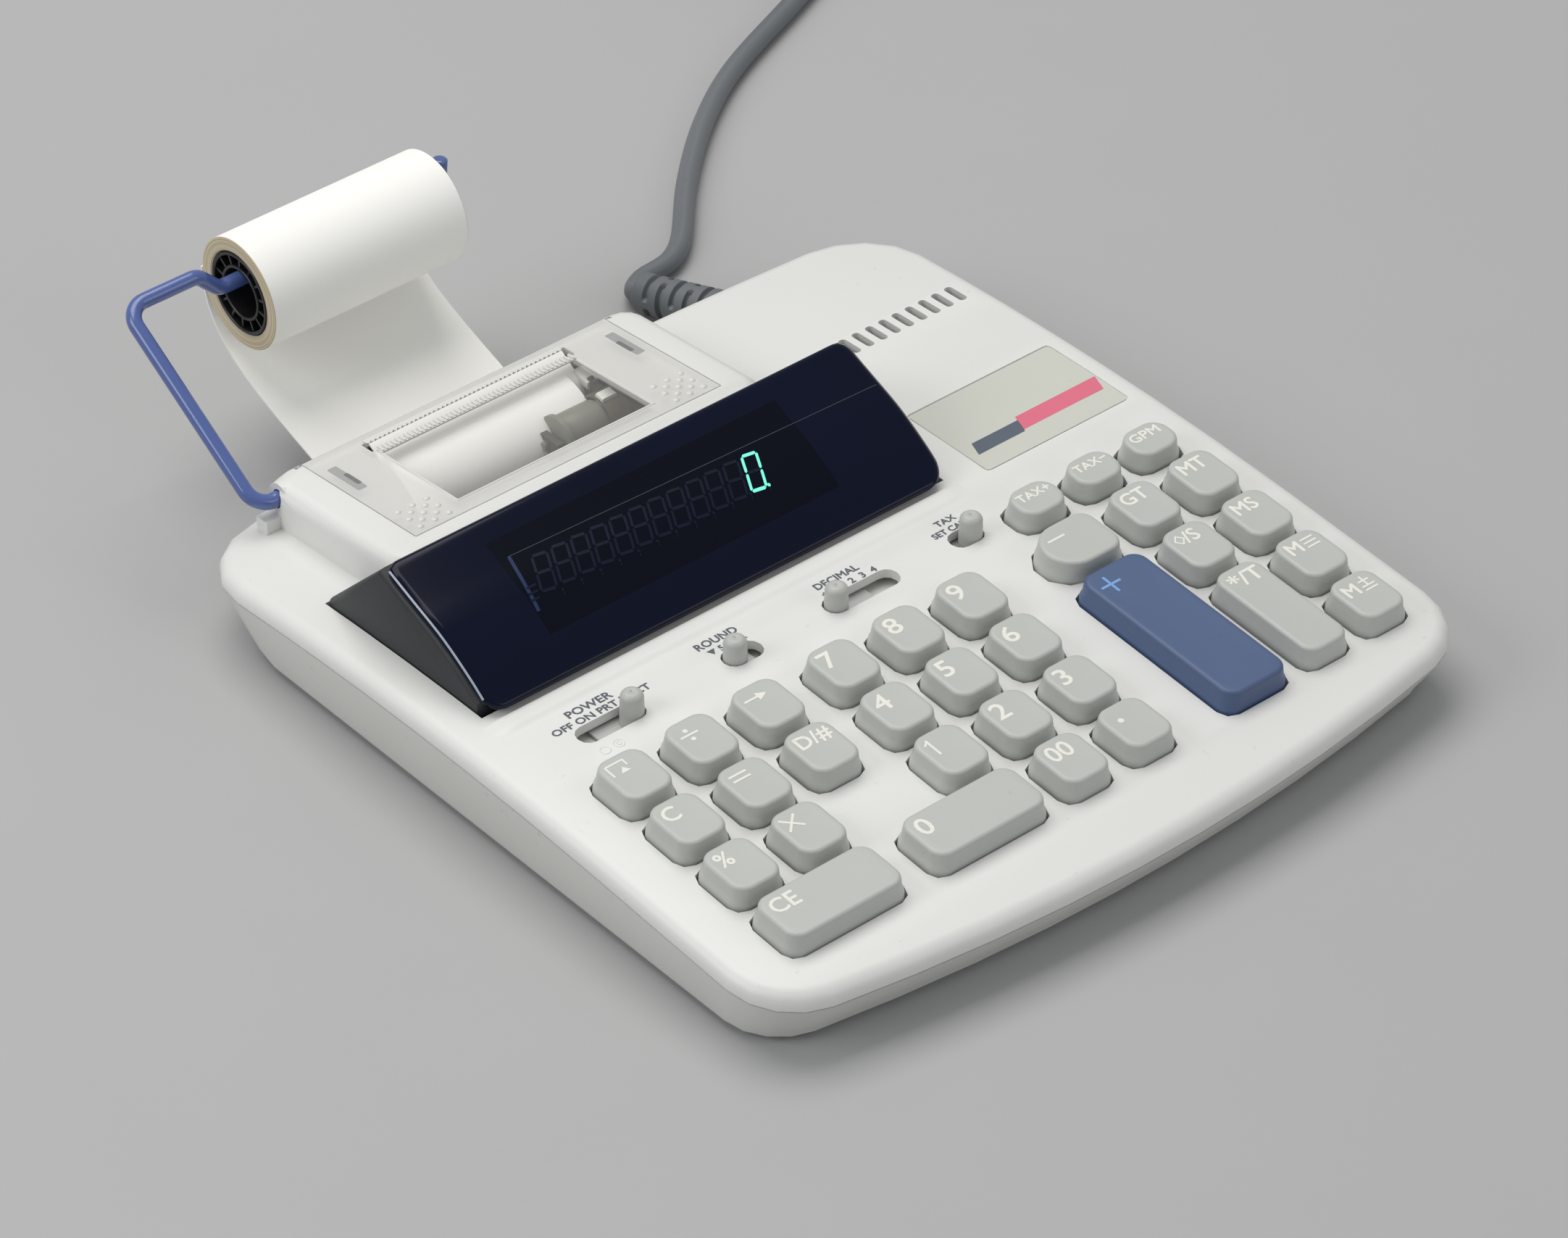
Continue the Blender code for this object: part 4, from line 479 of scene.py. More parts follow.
def round_bar(start, end, radii_along, sides=32):
    """Turned form from start to end: (share along, radius) pairs swept round the axis."""
    start, end = np.array(start, float), np.array(end, float)
    axis = unit(end - start)
    side = unit(np.cross(axis, UP if abs(axis[2]) < 0.9 else [1.0, 0.0, 0.0]))
    other = np.cross(axis, side)
    angle = full_turn(sides)
    around = np.cos(angle)[:, None] * side + np.sin(angle)[:, None] * other
    rings = np.stack([start + share * (end - start) + radius * around for share, radius in radii_along])
    return skin(rings)


def swept(path, section):
    """A section (points of side and up offsets) carried along a path without twist."""
    path = np.asarray(path, float)
    along = np.gradient(path, axis=0)
    along /= np.linalg.norm(along, axis=1)[:, None]
    side = np.cross(along[0], UP)
    if np.linalg.norm(side) < 0.1:
        side = np.cross(along[0], [1.0, 0.0, 0.0])
    sides = []
    for direction in along:
        side = unit(side - direction * np.dot(side, direction))
        sides.append(side)
    sides = np.stack(sides)
    ups = np.cross(sides, along)
    return skin(path[:, None, :] + section[None, :, :1] * sides[:, None, :] + section[None, :, 1:] * ups[:, None, :])


def circle(radius, sides=24):
    """Points (x, y) round the origin."""
    angle = full_turn(sides)
    return np.stack([radius * np.cos(angle), radius * np.sin(angle)], -1)


def smooth_step(t):
    """0 to 1 with level ends: 3t^2 - 2t^3 of t held between 0 and 1."""
    t = np.clip(t, 0, 1)
    return t ** 2 * (3 - 2 * t)


# ---- measures of the case
TILT = math.radians(3.8)
ABOVE_ALL = 0.2
DISPLAY_LOW, DISPLAY_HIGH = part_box("display_window")
CASE_TREES = {}


def tree_of(node):
    """Search tree of a solid, built once."""
    if node not in CASE_TREES:
        data = frame["nodes"][node].data
        CASE_TREES[node] = BVHTree.FromPolygons([v.co.copy() for v in data.vertices],
                                                [tuple(p.vertices) for p in data.polygons])
    return CASE_TREES[node]


def profile_above(node, x, y0, y1, count=80):
    """Heights of a solid's upper face along Y at one X."""
    ys = np.linspace(y0, y1, count)
    zs = []
    for y in ys:
        hit = tree_of(node).ray_cast(Vector((x, float(y), ABOVE_ALL)), Vector((0.0, 0.0, -1.0)))[0]
        zs.append(hit.z if hit is not None else np.nan)
    zs = np.array(zs)
    good = ~np.isnan(zs)
    return ys[good], zs[good]


# The deck's profile, read beside the keys near the left edge
DECK_Y, DECK_Z = profile_above("top_cover", -0.0965, -0.118, 0.060)


def deck_height(y):
    """Height of the deck at y, the same all across."""
    return np.interp(y, DECK_Y, DECK_Z)


# ---- lettering
THIN = 0.00002


def flat_text(words, size, weight=0.00011, width=1.0):
    """Plain words as thin plates (points, faces), cap height about 0.7 of size, left end at 0. Their weight
    comes from copies set off sideways and up by it, each a hair lower than the last."""
    curve = bpy.data.curves.new("words", "FONT")
    curve.body = words
    curve.size = size
    curve.extrude = THIN
    curve.resolution_u = 3
    holder = bpy.data.objects.new("words", curve)
    bpy.context.scene.collection.objects.link(holder)
    bpy.context.view_layer.update()
    mesh = bpy.data.meshes.new_from_object(holder.evaluated_get(bpy.context.evaluated_depsgraph_get()))
    verts = np.array([v.co[:] for v in mesh.vertices], float).reshape(-1, 3)
    faces = [tuple(p.vertices) for p in mesh.polygons]
    bpy.data.objects.remove(holder)
    bpy.data.curves.remove(curve)
    bpy.data.meshes.remove(mesh)
    verts[:, 0] *= width
    verts[:, 0] -= verts[:, 0].min()
    return merged([(verts + np.array([a * weight, b * weight, -THIN / 10 * k]), faces)
                   for k, (a, b) in enumerate(((0, 0), (1, 0), (-1, 0), (0, 1), (0, -1)))])


def flat_shape(points, thick=THIN):
    """A thin plate with the given outline."""
    points = np.asarray(points, float)
    n = len(points)
    low = np.column_stack([points, np.full(n, -thick)])
    high = np.column_stack([points, np.full(n, thick)])
    faces = [tuple(range(n, 2 * n)), tuple(range(n))[::-1]]
    faces += [(i, (i + 1) % n, n + (i + 1) % n, n + i) for i in range(n)]
    return np.concatenate([low, high]), faces


def stroke(points, width):
    """Plates along a run of straight strokes."""
    parts = []
    points = np.asarray(points, float)
    for a, b in zip(points[:-1], points[1:]):
        along = unit(b - a)
        side = np.array([-along[1], along[0]]) * width / 2
        a2, b2 = a - along * width / 2, b + along * width / 2
        parts.append(flat_shape([a2 - side, b2 - side, b2 + side, a2 + side]))
    return merged(parts)


def moved(part, dx=0.0, dy=0.0):
    """The same sign, shifted."""
    verts, faces = part
    return verts + np.array([dx, dy, 0.0]), faces


def disc(x, y, radius, sides=20):
    """A round dot."""
    return flat_shape(circle(radius, sides) + np.array([x, y]))


# ---- case
refined("top_cover", "case_top", CASE, "case", 34.0)
refined("bottom_case", "case_bottom", UNDER, "case", 34.0)
refined("display_housing", "display_surround", HOUSING, "case", 30.0)


def assign(node, mat):
    """Gives its material to a solid that shows as it is."""
    data = frame["nodes"][node].data
    data.materials.clear()
    data.materials.append(mat)


for node, mat in (("display_tube", TUBE), ("key_board", BOARD), ("printer_frame", DARK), ("platen", PLATEN),
                  ("foot_front_left", RUBBER), ("foot_front_right", RUBBER), ("foot_back_left", RUBBER),
                  ("foot_back_right", RUBBER)):
    assign(node, mat)

SILL_OVER, SILL_SHIFT, SILL_DEEP, SILL_RISE, SILL_BELOW = 0.0026, 0.0034, 0.0058, 0.00060, 0.0003


def sill():
    """Sill in front of the display, a ridge of the deck along the window's foot: it rises 0.6 mm as a smooth step
    over 45 % of its depth and falls to nothing at both ends."""
    x0, x1 = DISPLAY_LOW.x - SILL_OVER, DISPLAY_HIGH.x + SILL_OVER
    u = np.linspace(0.0, 1.0, 60)[:, None]
    v = np.linspace(0.0, 1.0, 14)[None, :]
    y = DISPLAY_LOW.y - SILL_SHIFT - SILL_DEEP * (1 - v)
    rise = SILL_RISE * smooth_step(v / 0.45) * smooth_step(np.minimum(u, 1 - u) / 0.035)
    x, y, base = np.broadcast_arrays(x0 + u * (x1 - x0), y, deck_height(y))
    top = np.stack([x, y, base + rise - THIN], -1)
    low = np.stack([x, y, base - SILL_BELOW], -1)
    return skin(np.concatenate([top, low[:, ::-1]], 1))


add_piece("display_sill", *sill(), CASE, "case", "case_plastic", 40.0)

# ---- keys
KEY_EDGE, KEY_BEVEL, KEY_DISH, FACE_BAND = 0.0009, 0.0006, 0.00012, 0.00005
SHORT_KEY, SHORT_DROP, SHORT_CORNER, LONG_CORNER = 0.006, 0.0008, 0.0043, 0.0037
EDGE_STEPS, CORNER_FOLLOW, SKIRT_FOOT = 7, 0.8, (0.00098, 0.0005)
DISH_RINGS = (0.9, 0.75, 0.55, 0.3, 0.1)
# The skirt: this far below the top, this far out along u and v
SKIRT = ((0.0070, 0.00096, 0.00048), (0.0048, 0.00080, 0.00040), (0.0040, 0.00068, 0.00034),
         (0.0035, 0.00036, 0.00018), (0.0030, 0.00028, 0.00014), (0.0014, 0.00006, 0.00003))


def key_measures(node):
    """Middle, half sizes, top and foot of a key, read from its solid in the tilted plane of the deck. The low
    keys' tops lie a little lower than their solids'."""
    verts = np.array([v.co[:] for v in frame["nodes"][node].data.vertices])
    u = verts[:, 0]
    v = verts[:, 1] * math.cos(TILT) + verts[:, 2] * math.sin(TILT)
    w = -verts[:, 1] * math.sin(TILT) + verts[:, 2] * math.cos(TILT)
    face = w > w.max() - FACE_BAND
    u, v = u[face], v[face]
    half_v = (v.max() - v.min()) / 2 + KEY_BEVEL
    high = w.max() - (SHORT_DROP if half_v < SHORT_KEY else 0.0)
    return (u.min() + u.max()) / 2, (v.min() + v.max()) / 2, (u.max() - u.min()) / 2 + KEY_BEVEL, half_v, high, w.min()


def to_world(local):
    """Points (u, v, w) of the deck's tilted frame as world points."""
    local = np.asarray(local, float)
    return np.stack([local[..., 0], local[..., 1] * math.cos(TILT) - local[..., 2] * math.sin(TILT),
                     local[..., 1] * math.sin(TILT) + local[..., 2] * math.cos(TILT)], -1)


def key_cap(node):
    """Cap: rounded rectangles stacked up a flared skirt, over a quarter-round edge, to a top dished 0.12 mm."""
    u0, v0, half_u, half_v, top, low = key_measures(node)
    levels = [(low, *SKIRT_FOOT)] + [(top - down, out_u, out_v) for down, out_u, out_v in SKIRT]
    levels += [(top - KEY_EDGE * (1 - math.sin(a)), -KEY_EDGE * (1 - math.cos(a)), -KEY_EDGE * (1 - math.cos(a)))
               for a in np.linspace(0.0, math.pi / 2, EDGE_STEPS)]
    rings = []
    for w, out_u, out_v in levels:
        corner = (SHORT_CORNER if half_v < SHORT_KEY else LONG_CORNER) + min(out_u, 0.0) * CORNER_FOLLOW
        left = half_v + out_v - THIN if node == "key_minus" else corner
        ring = rounded_rectangle(half_u + out_u, half_v + out_v, (corner, corner, left, left))
        rings.append(np.column_stack([ring, np.full(len(ring), w)]))
    rim = rings[-1]
    for share in DISH_RINGS:
        ring = rim.copy()
        ring[:, :2] *= share
        ring[:, 2] = top - KEY_DISH * (1 - share ** 2)
        rings.append(ring)
    return skin(to_world(np.stack(rings) + np.array([u0, v0, 0.0])))


def cap_face(part, node, left, back):
    """Places a flat legend on a key: its left end and its top edge lie this far in from the key's corner."""
    u0, v0, half_u, half_v, top, _ = key_measures(node)
    verts, faces = part
    x = u0 - half_u + left + verts[:, 0]
    y = v0 + half_v - back - (verts[:, 1].max() - verts[:, 1])
    reach = np.clip(np.maximum(np.abs(x - u0) / half_u, np.abs(y - v0) / half_v), 0, 1)
    w = top - KEY_DISH * (1 - reach ** 2) + verts[:, 2] + 2 * THIN
    return to_world(np.stack([x, y, w], -1)), faces


def sign_plus(arm, width):
    """Plus sign of three bars that don't overlap."""
    gap = width / 2 + 0.00001
    return merged([stroke([(-arm, 0), (arm, 0)], width), stroke([(0, -arm), (0, -gap)], width * 0.999),
                   stroke([(0, gap), (0, arm)], width * 0.999)])


def bars(length, width, offsets):
    """Level strokes at these heights."""
    return merged([stroke([(0, y), (length, y)], width) for y in offsets])


def feed_sign():
    """Sheet with an arrow head: an open frame and a solid triangle below it."""
    return merged([stroke([(0.0, 0.0), (0.0, 0.0034), (0.0048, 0.0034), (0.0048, 0.0018)], 0.0005),
                   flat_shape([(0.0020, -0.0002), (0.0046, -0.0002), (0.0033, 0.0016)])])


def arrow_sign():
    """Arrow to the right: a stroke and a solid triangle."""
    return merged([bars(0.0036, 0.0006, (0.0,)), flat_shape([(0.0034, -0.0013), (0.0060, 0.0), (0.0034, 0.0013)])])


def diamond_sign():
    """Open diamond before a slash and an S."""
    outline = [(0.0, 0.0), (0.0013, 0.0015), (0.0026, 0.0), (0.0013, -0.0015), (0.0, 0.0)]
    return merged([stroke(outline, 0.0004), moved(flat_text("/S", 0.0056, weight=0.0001), 0.0025, -0.0020)])


LEGENDS = {
    "key_feed": feed_sign(), "key_right_shift": arrow_sign(), "key_subtotal": diamond_sign(),
    "key_divide": merged([bars(0.0042, 0.0006, (0.0,)), disc(0.0021, 0.0015, 0.0006), disc(0.0021, -0.0015, 0.0006)]),
    "key_equals": bars(0.0042, 0.0006, (0.0, 0.0017)), "key_minus": bars(0.0044, 0.0006, (0.0,)),
    "key_multiply": merged([stroke([(0.0, 0.0), (0.0038, 0.0038)], 0.0006),
                            stroke([(0.0, 0.0038), (0.0038, 0.0)], 0.0006)]),
    "key_plus": sign_plus(0.0025, 0.0007), "key_point": disc(0.0, 0.0, 0.00075),
    "key_memory_minus": merged([flat_text("M", 0.0056), moved(bars(0.0032, 0.0005, (0.0003, 0.0017, 0.0031)), 0.0049)]),
    "key_memory_plus": merged([flat_text("M", 0.0056), moved(bars(0.0032, 0.0005, (0.0000, 0.0012)), 0.0049),
                               moved(sign_plus(0.0013, 0.0005), 0.0065, 0.0030)]),
    "key_1": merged([stroke([(0.0012, 0.0), (0.0012, 0.0048)], 0.0006),
                     stroke([(0.0001, 0.0038), (0.0012, 0.0046)], 0.0005)])}
for key_name, words, size, width in (
        ("clear", "C", 0.0062, 1.0), ("item_date", "D/#", 0.0058, 1.0), ("percent", "%", 0.0062, 0.95),
        ("clear_entry", "CE", 0.0062, 1.0), ("00", "00", 0.0068, 1.0), ("grand_total", "GT", 0.0056, 1.0),
        ("memory_total", "MT", 0.0056, 1.0), ("memory_subtotal", "MS", 0.0056, 1.0), ("total", "*/T", 0.0062, 1.12),
        *((one, one, 0.0073, 1.12) for one in "023456789")):
    LEGENDS["key_" + key_name] = flat_text(words, size, width=width)
for key_name, words, size, width in (("tax_plus", "TAX+", 0.0036, 1.04), ("tax_minus", "TAX−", 0.0036, 1.04),
                                     ("margin", "GPM", 0.0040, 1.1)):
    LEGENDS["key_" + key_name] = flat_text(words, size, 0.00008, width)
# How far a legend lies in from the left and the back of its cap, where it isn't the usual place
USUAL_INSET = (0.0021, 0.0021)
LEGEND_INSET = {"key_point": (0.0040, 0.0046), "key_plus": (0.0049, 0.0030), "key_minus": (0.0034, 0.0042),
                "key_tax_plus": (0.0018, 0.0022), "key_tax_minus": (0.0018, 0.0022), "key_margin": (0.0018, 0.0018),
                "key_divide": (0.0026, 0.0030), "key_right_shift": (0.0022, 0.0032), "key_equals": (0.0026, 0.0030)}
for body, nodes in frame["record"]["behaviour"]["bodies"].items():
    node = nodes[0]
    if not node.startswith("key_") or body == "case":
        continue
    blue = node == "key_plus"
    slot_name = "key_blue" if blue else "key_grey"
    add_piece(node.replace("key_", "cap_"), *key_cap(node), KEY_BLUE if blue else KEY, body, slot_name, 50.0, (node,))
    legend = cap_face(LEGENDS[node], node, *LEGEND_INSET.get(node, USUAL_INSET))
    add_piece(node.replace("key_", "legend_"), *legend, LEGEND_BLUE if blue else LEGEND, body, slot_name)


# ---- sliders
KNOB_R, KNOB_TIP, KNOB_DOME, PIP_R = 0.00286, 0.0011, 0.0016, 0.00022
FOOT_BACK, FOOT_UP, HEAD_DOWN = 0.00015, 0.0009, 0.0007
PLATE_ROUND, PLATE_INSET = 0.0006, 0.00005


def slider_parts(node):
    """Knob: a turned stem with a rounded top and a small pip; plate: a rounded slab under the slot."""
    low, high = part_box(node)
    verts = np.array([v.co[:] for v in frame["nodes"][node].data.vertices])
    x, y = verts[verts[:, 2] > high.z - 0.0002][:, :2].mean(0)
    foot = np.array([x, y + FOOT_BACK, low.z + FOOT_UP])
    head = np.array([x, y, high.z - HEAD_DOWN])
    tall = head[2] - foot[2]
    dome = [((tall - KNOB_DOME * (1 - math.sin(a))) / tall, KNOB_TIP + (KNOB_R * 0.95 - KNOB_TIP) * math.cos(a))
            for a in np.linspace(0.0, math.pi / 2, 9)[:-1]]
    stem = round_bar(foot, head, [(0.0, KNOB_R), (0.35, KNOB_R * 0.99), (0.6, KNOB_R * 0.97)] + dome
                     + [(1.0, 0.0010), (1.0 - 0.00012 / tall, 0.0005)], 40)
    pip_start = head + np.array([0.0, 0.0001, 0.0])
    pip = round_bar(pip_start, pip_start + np.array([0.0, 0.0019, -0.0005]),
                    [(0.0, 0.00008), (0.15, PIP_R), (0.85, PIP_R), (1.0, 0.00008)], 10)
    plate = rounded_between(low.x + PLATE_INSET, high.x - PLATE_INSET, low.y + PLATE_INSET, high.y - PLATE_INSET,
                            PLATE_ROUND)
    return merged([stem, pip, skin(at_heights(plate, (low.z + 0.0002, low.z + 0.0008)))])


# How far each slot's floor reaches left and right of its slider's middle, less the margin
SLOT_REACH = {"power": (0.0165, 0.0030), "round": (0.0030, 0.0085), "decimal": (0.0030, 0.0190),
              "tax": (0.0062, 0.0030)}
SLOT_MARGIN, SLOT_DEPTH = 0.006, 0.005
floors = []
for name, (left, right) in SLOT_REACH.items():
    node = "slider_" + name
    add_piece("knob_" + name, *slider_parts(node), SLIDER, "slide_" + name, "slider_grey", 50.0, (node,))
    # Light slab under the slot, below the moving plate
    low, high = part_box(node)
    middle = (low.x + high.x) / 2
    outline = rounded_between(middle - left - SLOT_MARGIN, middle + right + SLOT_MARGIN, low.y, high.y + SLOT_DEPTH,
                              PLATE_ROUND)
    floors.append(skin(at_heights(outline, (low.z - 0.0009, low.z - 0.0003))))
add_piece("slot_floors", *merged(floors), WHITE, "case", "case_plastic", 40.0)

# ---- deck lettering
def on_deck(part, x, y, lift=0.00003):
    """Lays a flat sign on the deck with its left baseline end at (x, y)."""
    verts, faces = part
    px, py = verts[:, 0] + x, verts[:, 1] + y
    return np.stack([px, py, deck_height(py) + verts[:, 2] + lift], -1), faces


UPPER_LINE, LOWER_LINE, SMALL_WEIGHT = -0.0279, -0.0309, 0.00009
deck_signs = [on_deck(flat_text(words, size, SMALL_WEIGHT, width), x, y) for words, size, width, x, y in (
    ("POWER", 0.0033, 1.1, -0.0782, UPPER_LINE), ("OFF ON PRT IC CT", 0.0029, 1.12, -0.0846, LOWER_LINE),
    ("ROUND", 0.0032, 1.02, -0.0412, UPPER_LINE), ("5/4", 0.0026, 1.0, -0.0370, LOWER_LINE),
    ("DECIMAL", 0.0030, 1.02, -0.0064, -0.0281), ("+ F 0  2  3  4", 0.0027, 1.12, -0.0068, -0.0311),
    ("TAX", 0.0027, 1.06, 0.0298, -0.0281), ("SET CALC", 0.0026, 1.0, 0.0264, -0.0311))]
deck_signs += [on_deck(flat_shape([(0.0, 0.0018), (0.0011, 0.0), (0.0022, 0.0018)]), -0.0401, LOWER_LINE),
               on_deck(flat_shape([(0.0, 0.0), (0.0022, 0.0), (0.0011, 0.0018)]), -0.0317, LOWER_LINE)]
add_piece("deck_lettering", *merged(deck_signs), LEGEND_DARK, "case", "case_plastic")


def ring_sign(x, y, outer, inner):
    """A raised flat ring on the deck: three circles above and two below them, closed all round."""
    angle = full_turn(36)
    radii = np.array([inner, (inner + outer) / 2, outer])[:, None]
    lift = np.array([-0.00005, 0.00012, -0.00005])[:, None]
    py = y + radii * np.sin(angle)
    rings = np.stack([x + radii * np.cos(angle), py, deck_height(py) + lift], -1)
    return hoop(np.concatenate([rings, rings[[2, 0]] - 10 * THIN * UP]))


add_piece("moulded_signs", *merged([ring_sign(x, -0.0413, outer, inner) for x, outer, inner in (
    (-0.0790, 0.0014, 0.0010), (-0.0751, 0.0014, 0.0011), (-0.0751, 0.0007, 0.0004))]), CASE, "case", "case_plastic")


def sheet_on_deck(x0, x1, y0, y1, radius, lift, thick, slant=0.0):
    """Thin rounded plate that follows the deck's curve: its outline in five shares, above and below."""
    outline = rounded_between(x0, x1, y0, y1, radius, 5)
    outline[:, 0] += slant * (outline[:, 1] - y0)
    shares = np.array([1.0, 0.8, 0.55, 0.3, 0.1])
    middle = outline.mean(0)
    rings = []
    for level, share in [(lift, s) for s in shares[::-1]] + [(lift - thick, s) for s in shares]:
        ring = middle + (outline - middle) * share
        rings.append(np.column_stack([ring, deck_height(ring[:, 1]) + level]))
    return skin(np.stack(rings))


# Label plate: bare, with two plain colour bands
for name, mat, area in (
        ("label_plate", PLATE, (0.05307, 0.09707, -0.01916, 0.00904, 0.0011, -0.00008, 0.00025)),
        ("label_band_left", BAND_DARK, (0.0556, 0.0700, -0.0132, -0.0089, 0.0001, -0.00005, 0.00004, 0.35)),
        ("label_band_right", BAND_ROSE, (0.0701, 0.0953, -0.0126, -0.0076, 0.0001, -0.00005, 0.00004, 0.35))):
    add_piece(name, *sheet_on_deck(*area), mat, "case", "case_plastic")

# ---- display window
MID_X = (DISPLAY_LOW.x + DISPLAY_HIGH.x) / 2
FACE_Y, FACE_Z = profile_above("display_window", MID_X, DISPLAY_LOW.y + 0.00005, DISPLAY_HIGH.y - 0.00005, 160)


def smoothed(values, times=40):
    """Evens out the facets of a measured profile, keeping its ends."""
    values = values.copy()
    for _ in range(times):
        values[1:-1] = (values[:-2] + 2 * values[1:-1] + values[2:]) / 4
    return values


FACE_Z = smoothed(FACE_Z)
# The plate's front edge reaches this far beyond the solid's, along its first slope
FRONT_REACH = 0.0031
front_slope = (FACE_Z[8] - FACE_Z[0]) / (FACE_Y[8] - FACE_Y[0])
reach = np.linspace(1.0, 0.0, 24)[:-1] * FRONT_REACH
FACE_Y, FACE_Z = (np.concatenate([FACE_Y[0] - reach, FACE_Y]),
                  np.concatenate([FACE_Z[0] - reach * front_slope, FACE_Z]))
FACE_SLOPE = np.gradient(FACE_Z, FACE_Y)


def face_point(y, depth=0.0):
    """Point of the window's outer face at y, pushed in along its normal."""
    z = np.interp(y, FACE_Y, FACE_Z)
    slope = np.interp(y, FACE_Y, FACE_SLOPE)
    norm = np.sqrt(1 + slope ** 2)
    return y + depth * slope / norm, z - depth / norm


def window_sheet(x, y, depth, thick):
    """Closed sheet on the face: one grid of points at this depth and one at thick below the face."""
    sides = [np.stack([x, *face_point(y, level)], -1) for level in (depth, np.full_like(x, thick))]
    return closed_sheet(*sides)


WINDOW_CORNER, WINDOW_EDGE, WINDOW_THICK = 0.0050, 0.0006, 0.00195
WINDOW_ROWS, WINDOW_COLS, CROWD_Y, CROWD_X = 61, 121, 0.04, 0.03


def window_surface():
    """The plate as a dense grid across X and along the face, so that its mirror finish bends evenly. Its corners
    are quarter circles and its edge a quarter round."""
    half_x = (DISPLAY_HIGH.x - DISPLAY_LOW.x) / 2
    v = np.linspace(0.0, 1.0, WINDOW_ROWS)
    v = v - CROWD_Y * np.sin(2 * math.pi * v)
    u = np.linspace(-1.0, 1.0, WINDOW_COLS)
    u = u + CROWD_X * np.sin(math.pi * u)
    y = FACE_Y[0] + v * (FACE_Y[-1] - FACE_Y[0])
    near = np.minimum(y - FACE_Y[0], FACE_Y[-1] - y)
    dip = np.clip(WINDOW_CORNER - near, 0.0, WINDOW_CORNER)
    half = (half_x - WINDOW_CORNER + np.sqrt(np.maximum(WINDOW_CORNER ** 2 - dip ** 2, 0.0)))[:, None]
    x = MID_X + u[None, :] * half
    edge_x = half - np.abs(x - MID_X)
    fall = np.clip(1 - np.minimum(edge_x, near[:, None]) / WINDOW_EDGE, 0.0, 1.0)
    depth = WINDOW_EDGE * (1 - np.sqrt(np.maximum(1 - fall ** 2, 0.0)))
    return window_sheet(x, np.broadcast_to(y[:, None], x.shape), depth, WINDOW_THICK)


def painted_highlight_edge():
    """Painted highlight along the plate's rounded left end: a fine light bar that follows the face from front to back.
    """
    y = np.linspace(FACE_Y[0] + 0.0030, FACE_Y[-1] - 0.0030, 60)
    path = np.stack([np.full_like(y, DISPLAY_LOW.x + 0.00018), *face_point(y, 0.00022)], -1)
    return swept(path, circle(0.00028, 10))


# Painted highlight: a light bar along the window's rounded left edge
add_piece("window_edge_painted_highlight", *painted_highlight_edge(), finish("window_edge_painted_highlight_finish", (196, 204, 214), 0.15, (120, 130, 150),
                                                       mottle=1.0, **FLAT), "case", "window_navy")
add_piece("window_tinted", *window_surface(), WINDOW, "case", "window_navy", 60.0, ("display_window",))


def on_window(points, lift=0.00011, thick=0.00001):
    """A thin plate with the given (x, y) outline, laid on the window's face."""
    verts, faces = flat_shape(points, thick)
    py, pz = face_point(verts[:, 1], -(verts[:, 2] + lift))
    return np.stack([verts[:, 0], py, pz], -1), faces


def window_patch(x0, x1, y0, y1, lift, lean):
    """Thin plate on the window between x0..x1 and y0..y1, leaning along X with y."""
    u = np.linspace(0.0, 1.0, 24)
    v = np.linspace(0.0, 1.0, 18)
    y = np.broadcast_to((y0 + v * (y1 - y0))[:, None], (18, 24))
    x = x0 + u[None, :] * (x1 - x0) + lean * (y - y0)
    return window_sheet(x, y, np.full_like(y, -lift), 0.0002)


# A darker field for the display behind the window, and a narrow blue strip at its left end that is a painted reflection
for name, mat, area in (("display_field", WINDOW_INNER, (-0.0690, 0.0156, -0.0100, 0.0135, 0.00003, 0.02)),
                        ("display_blue_edge", WINDOW_REFLECTION_BAR, (-0.0687, -0.0678, -0.0050, 0.0085, 0.00005, 0.18))):
    add_piece(name, *window_patch(*area), mat, "case", "window_navy", 60.0)

DIGIT_LEFT, DIGIT_PITCH, DIGIT_LEAN = -0.0648, 0.00547, 0.44
DIGIT_FOOT, DIGIT_TALL, DIGIT_WIDE, BAR = -0.0032, 0.0080, 0.0041, 0.00072


def segment(x0, y0, x1, y1):
    """Six-sided display segment between two corners of a digit."""
    a, b = np.array([x0, y0]), np.array([x1, y1])
    along = unit(b - a)
    side = np.array([-along[1], along[0]]) * BAR / 2
    a2, b2 = a + along * BAR * 0.62, b - along * BAR * 0.62
    a1, b1 = a + along * BAR * 0.14, b - along * BAR * 0.14
    shares = np.linspace(0.0, 1.0, 6)[:, None]
    under, over = a2 - side + shares * (b2 - a2), b2 + side + shares * (a2 - b2)
    return np.concatenate([[a1], under, [b1], over])


# A cell's bars fall to the right by this share, and the cells stand this high and fall along the row
CELL_FALL, CELL_LIFT, ROW_FALL = 0.12, 0.0014, 0.0195


def digit(column, which):
    """The chosen segments of one display cell, leaning right."""
    w, h = DIGIT_WIDE, DIGIT_TALL
    runs = {"a": (0, h, w, h), "b": (w, h, w, h / 2), "c": (w, h / 2, w, 0), "d": (0, 0, w, 0), "e": (0, 0, 0, h / 2),
            "f": (0, h / 2, 0, h), "g": (0, h / 2, w, h / 2)}
    parts = []
    for key in which:
        shape = segment(*runs[key])
        shape[:, 1] -= CELL_FALL * shape[:, 0]
        shape[:, 0] += DIGIT_LEFT + column * DIGIT_PITCH + DIGIT_LEAN * shape[:, 1]
        shape[:, 1] += DIGIT_FOOT + CELL_LIFT - ROW_FALL * column * DIGIT_PITCH
        parts.append(on_window(shape))
    return merged(parts)


def cell_end(column, back):
    """X at the right end of a display cell, less this much."""
    return DIGIT_LEFT + (column + 1) * DIGIT_PITCH - back


def window_dot(column, radius):
    """The point at the foot of a display cell."""
    middle = np.array([cell_end(column, BAR + DIGIT_LEAN * 0.0001), DIGIT_FOOT - 0.0001])
    return on_window(circle(radius, 12) + middle)


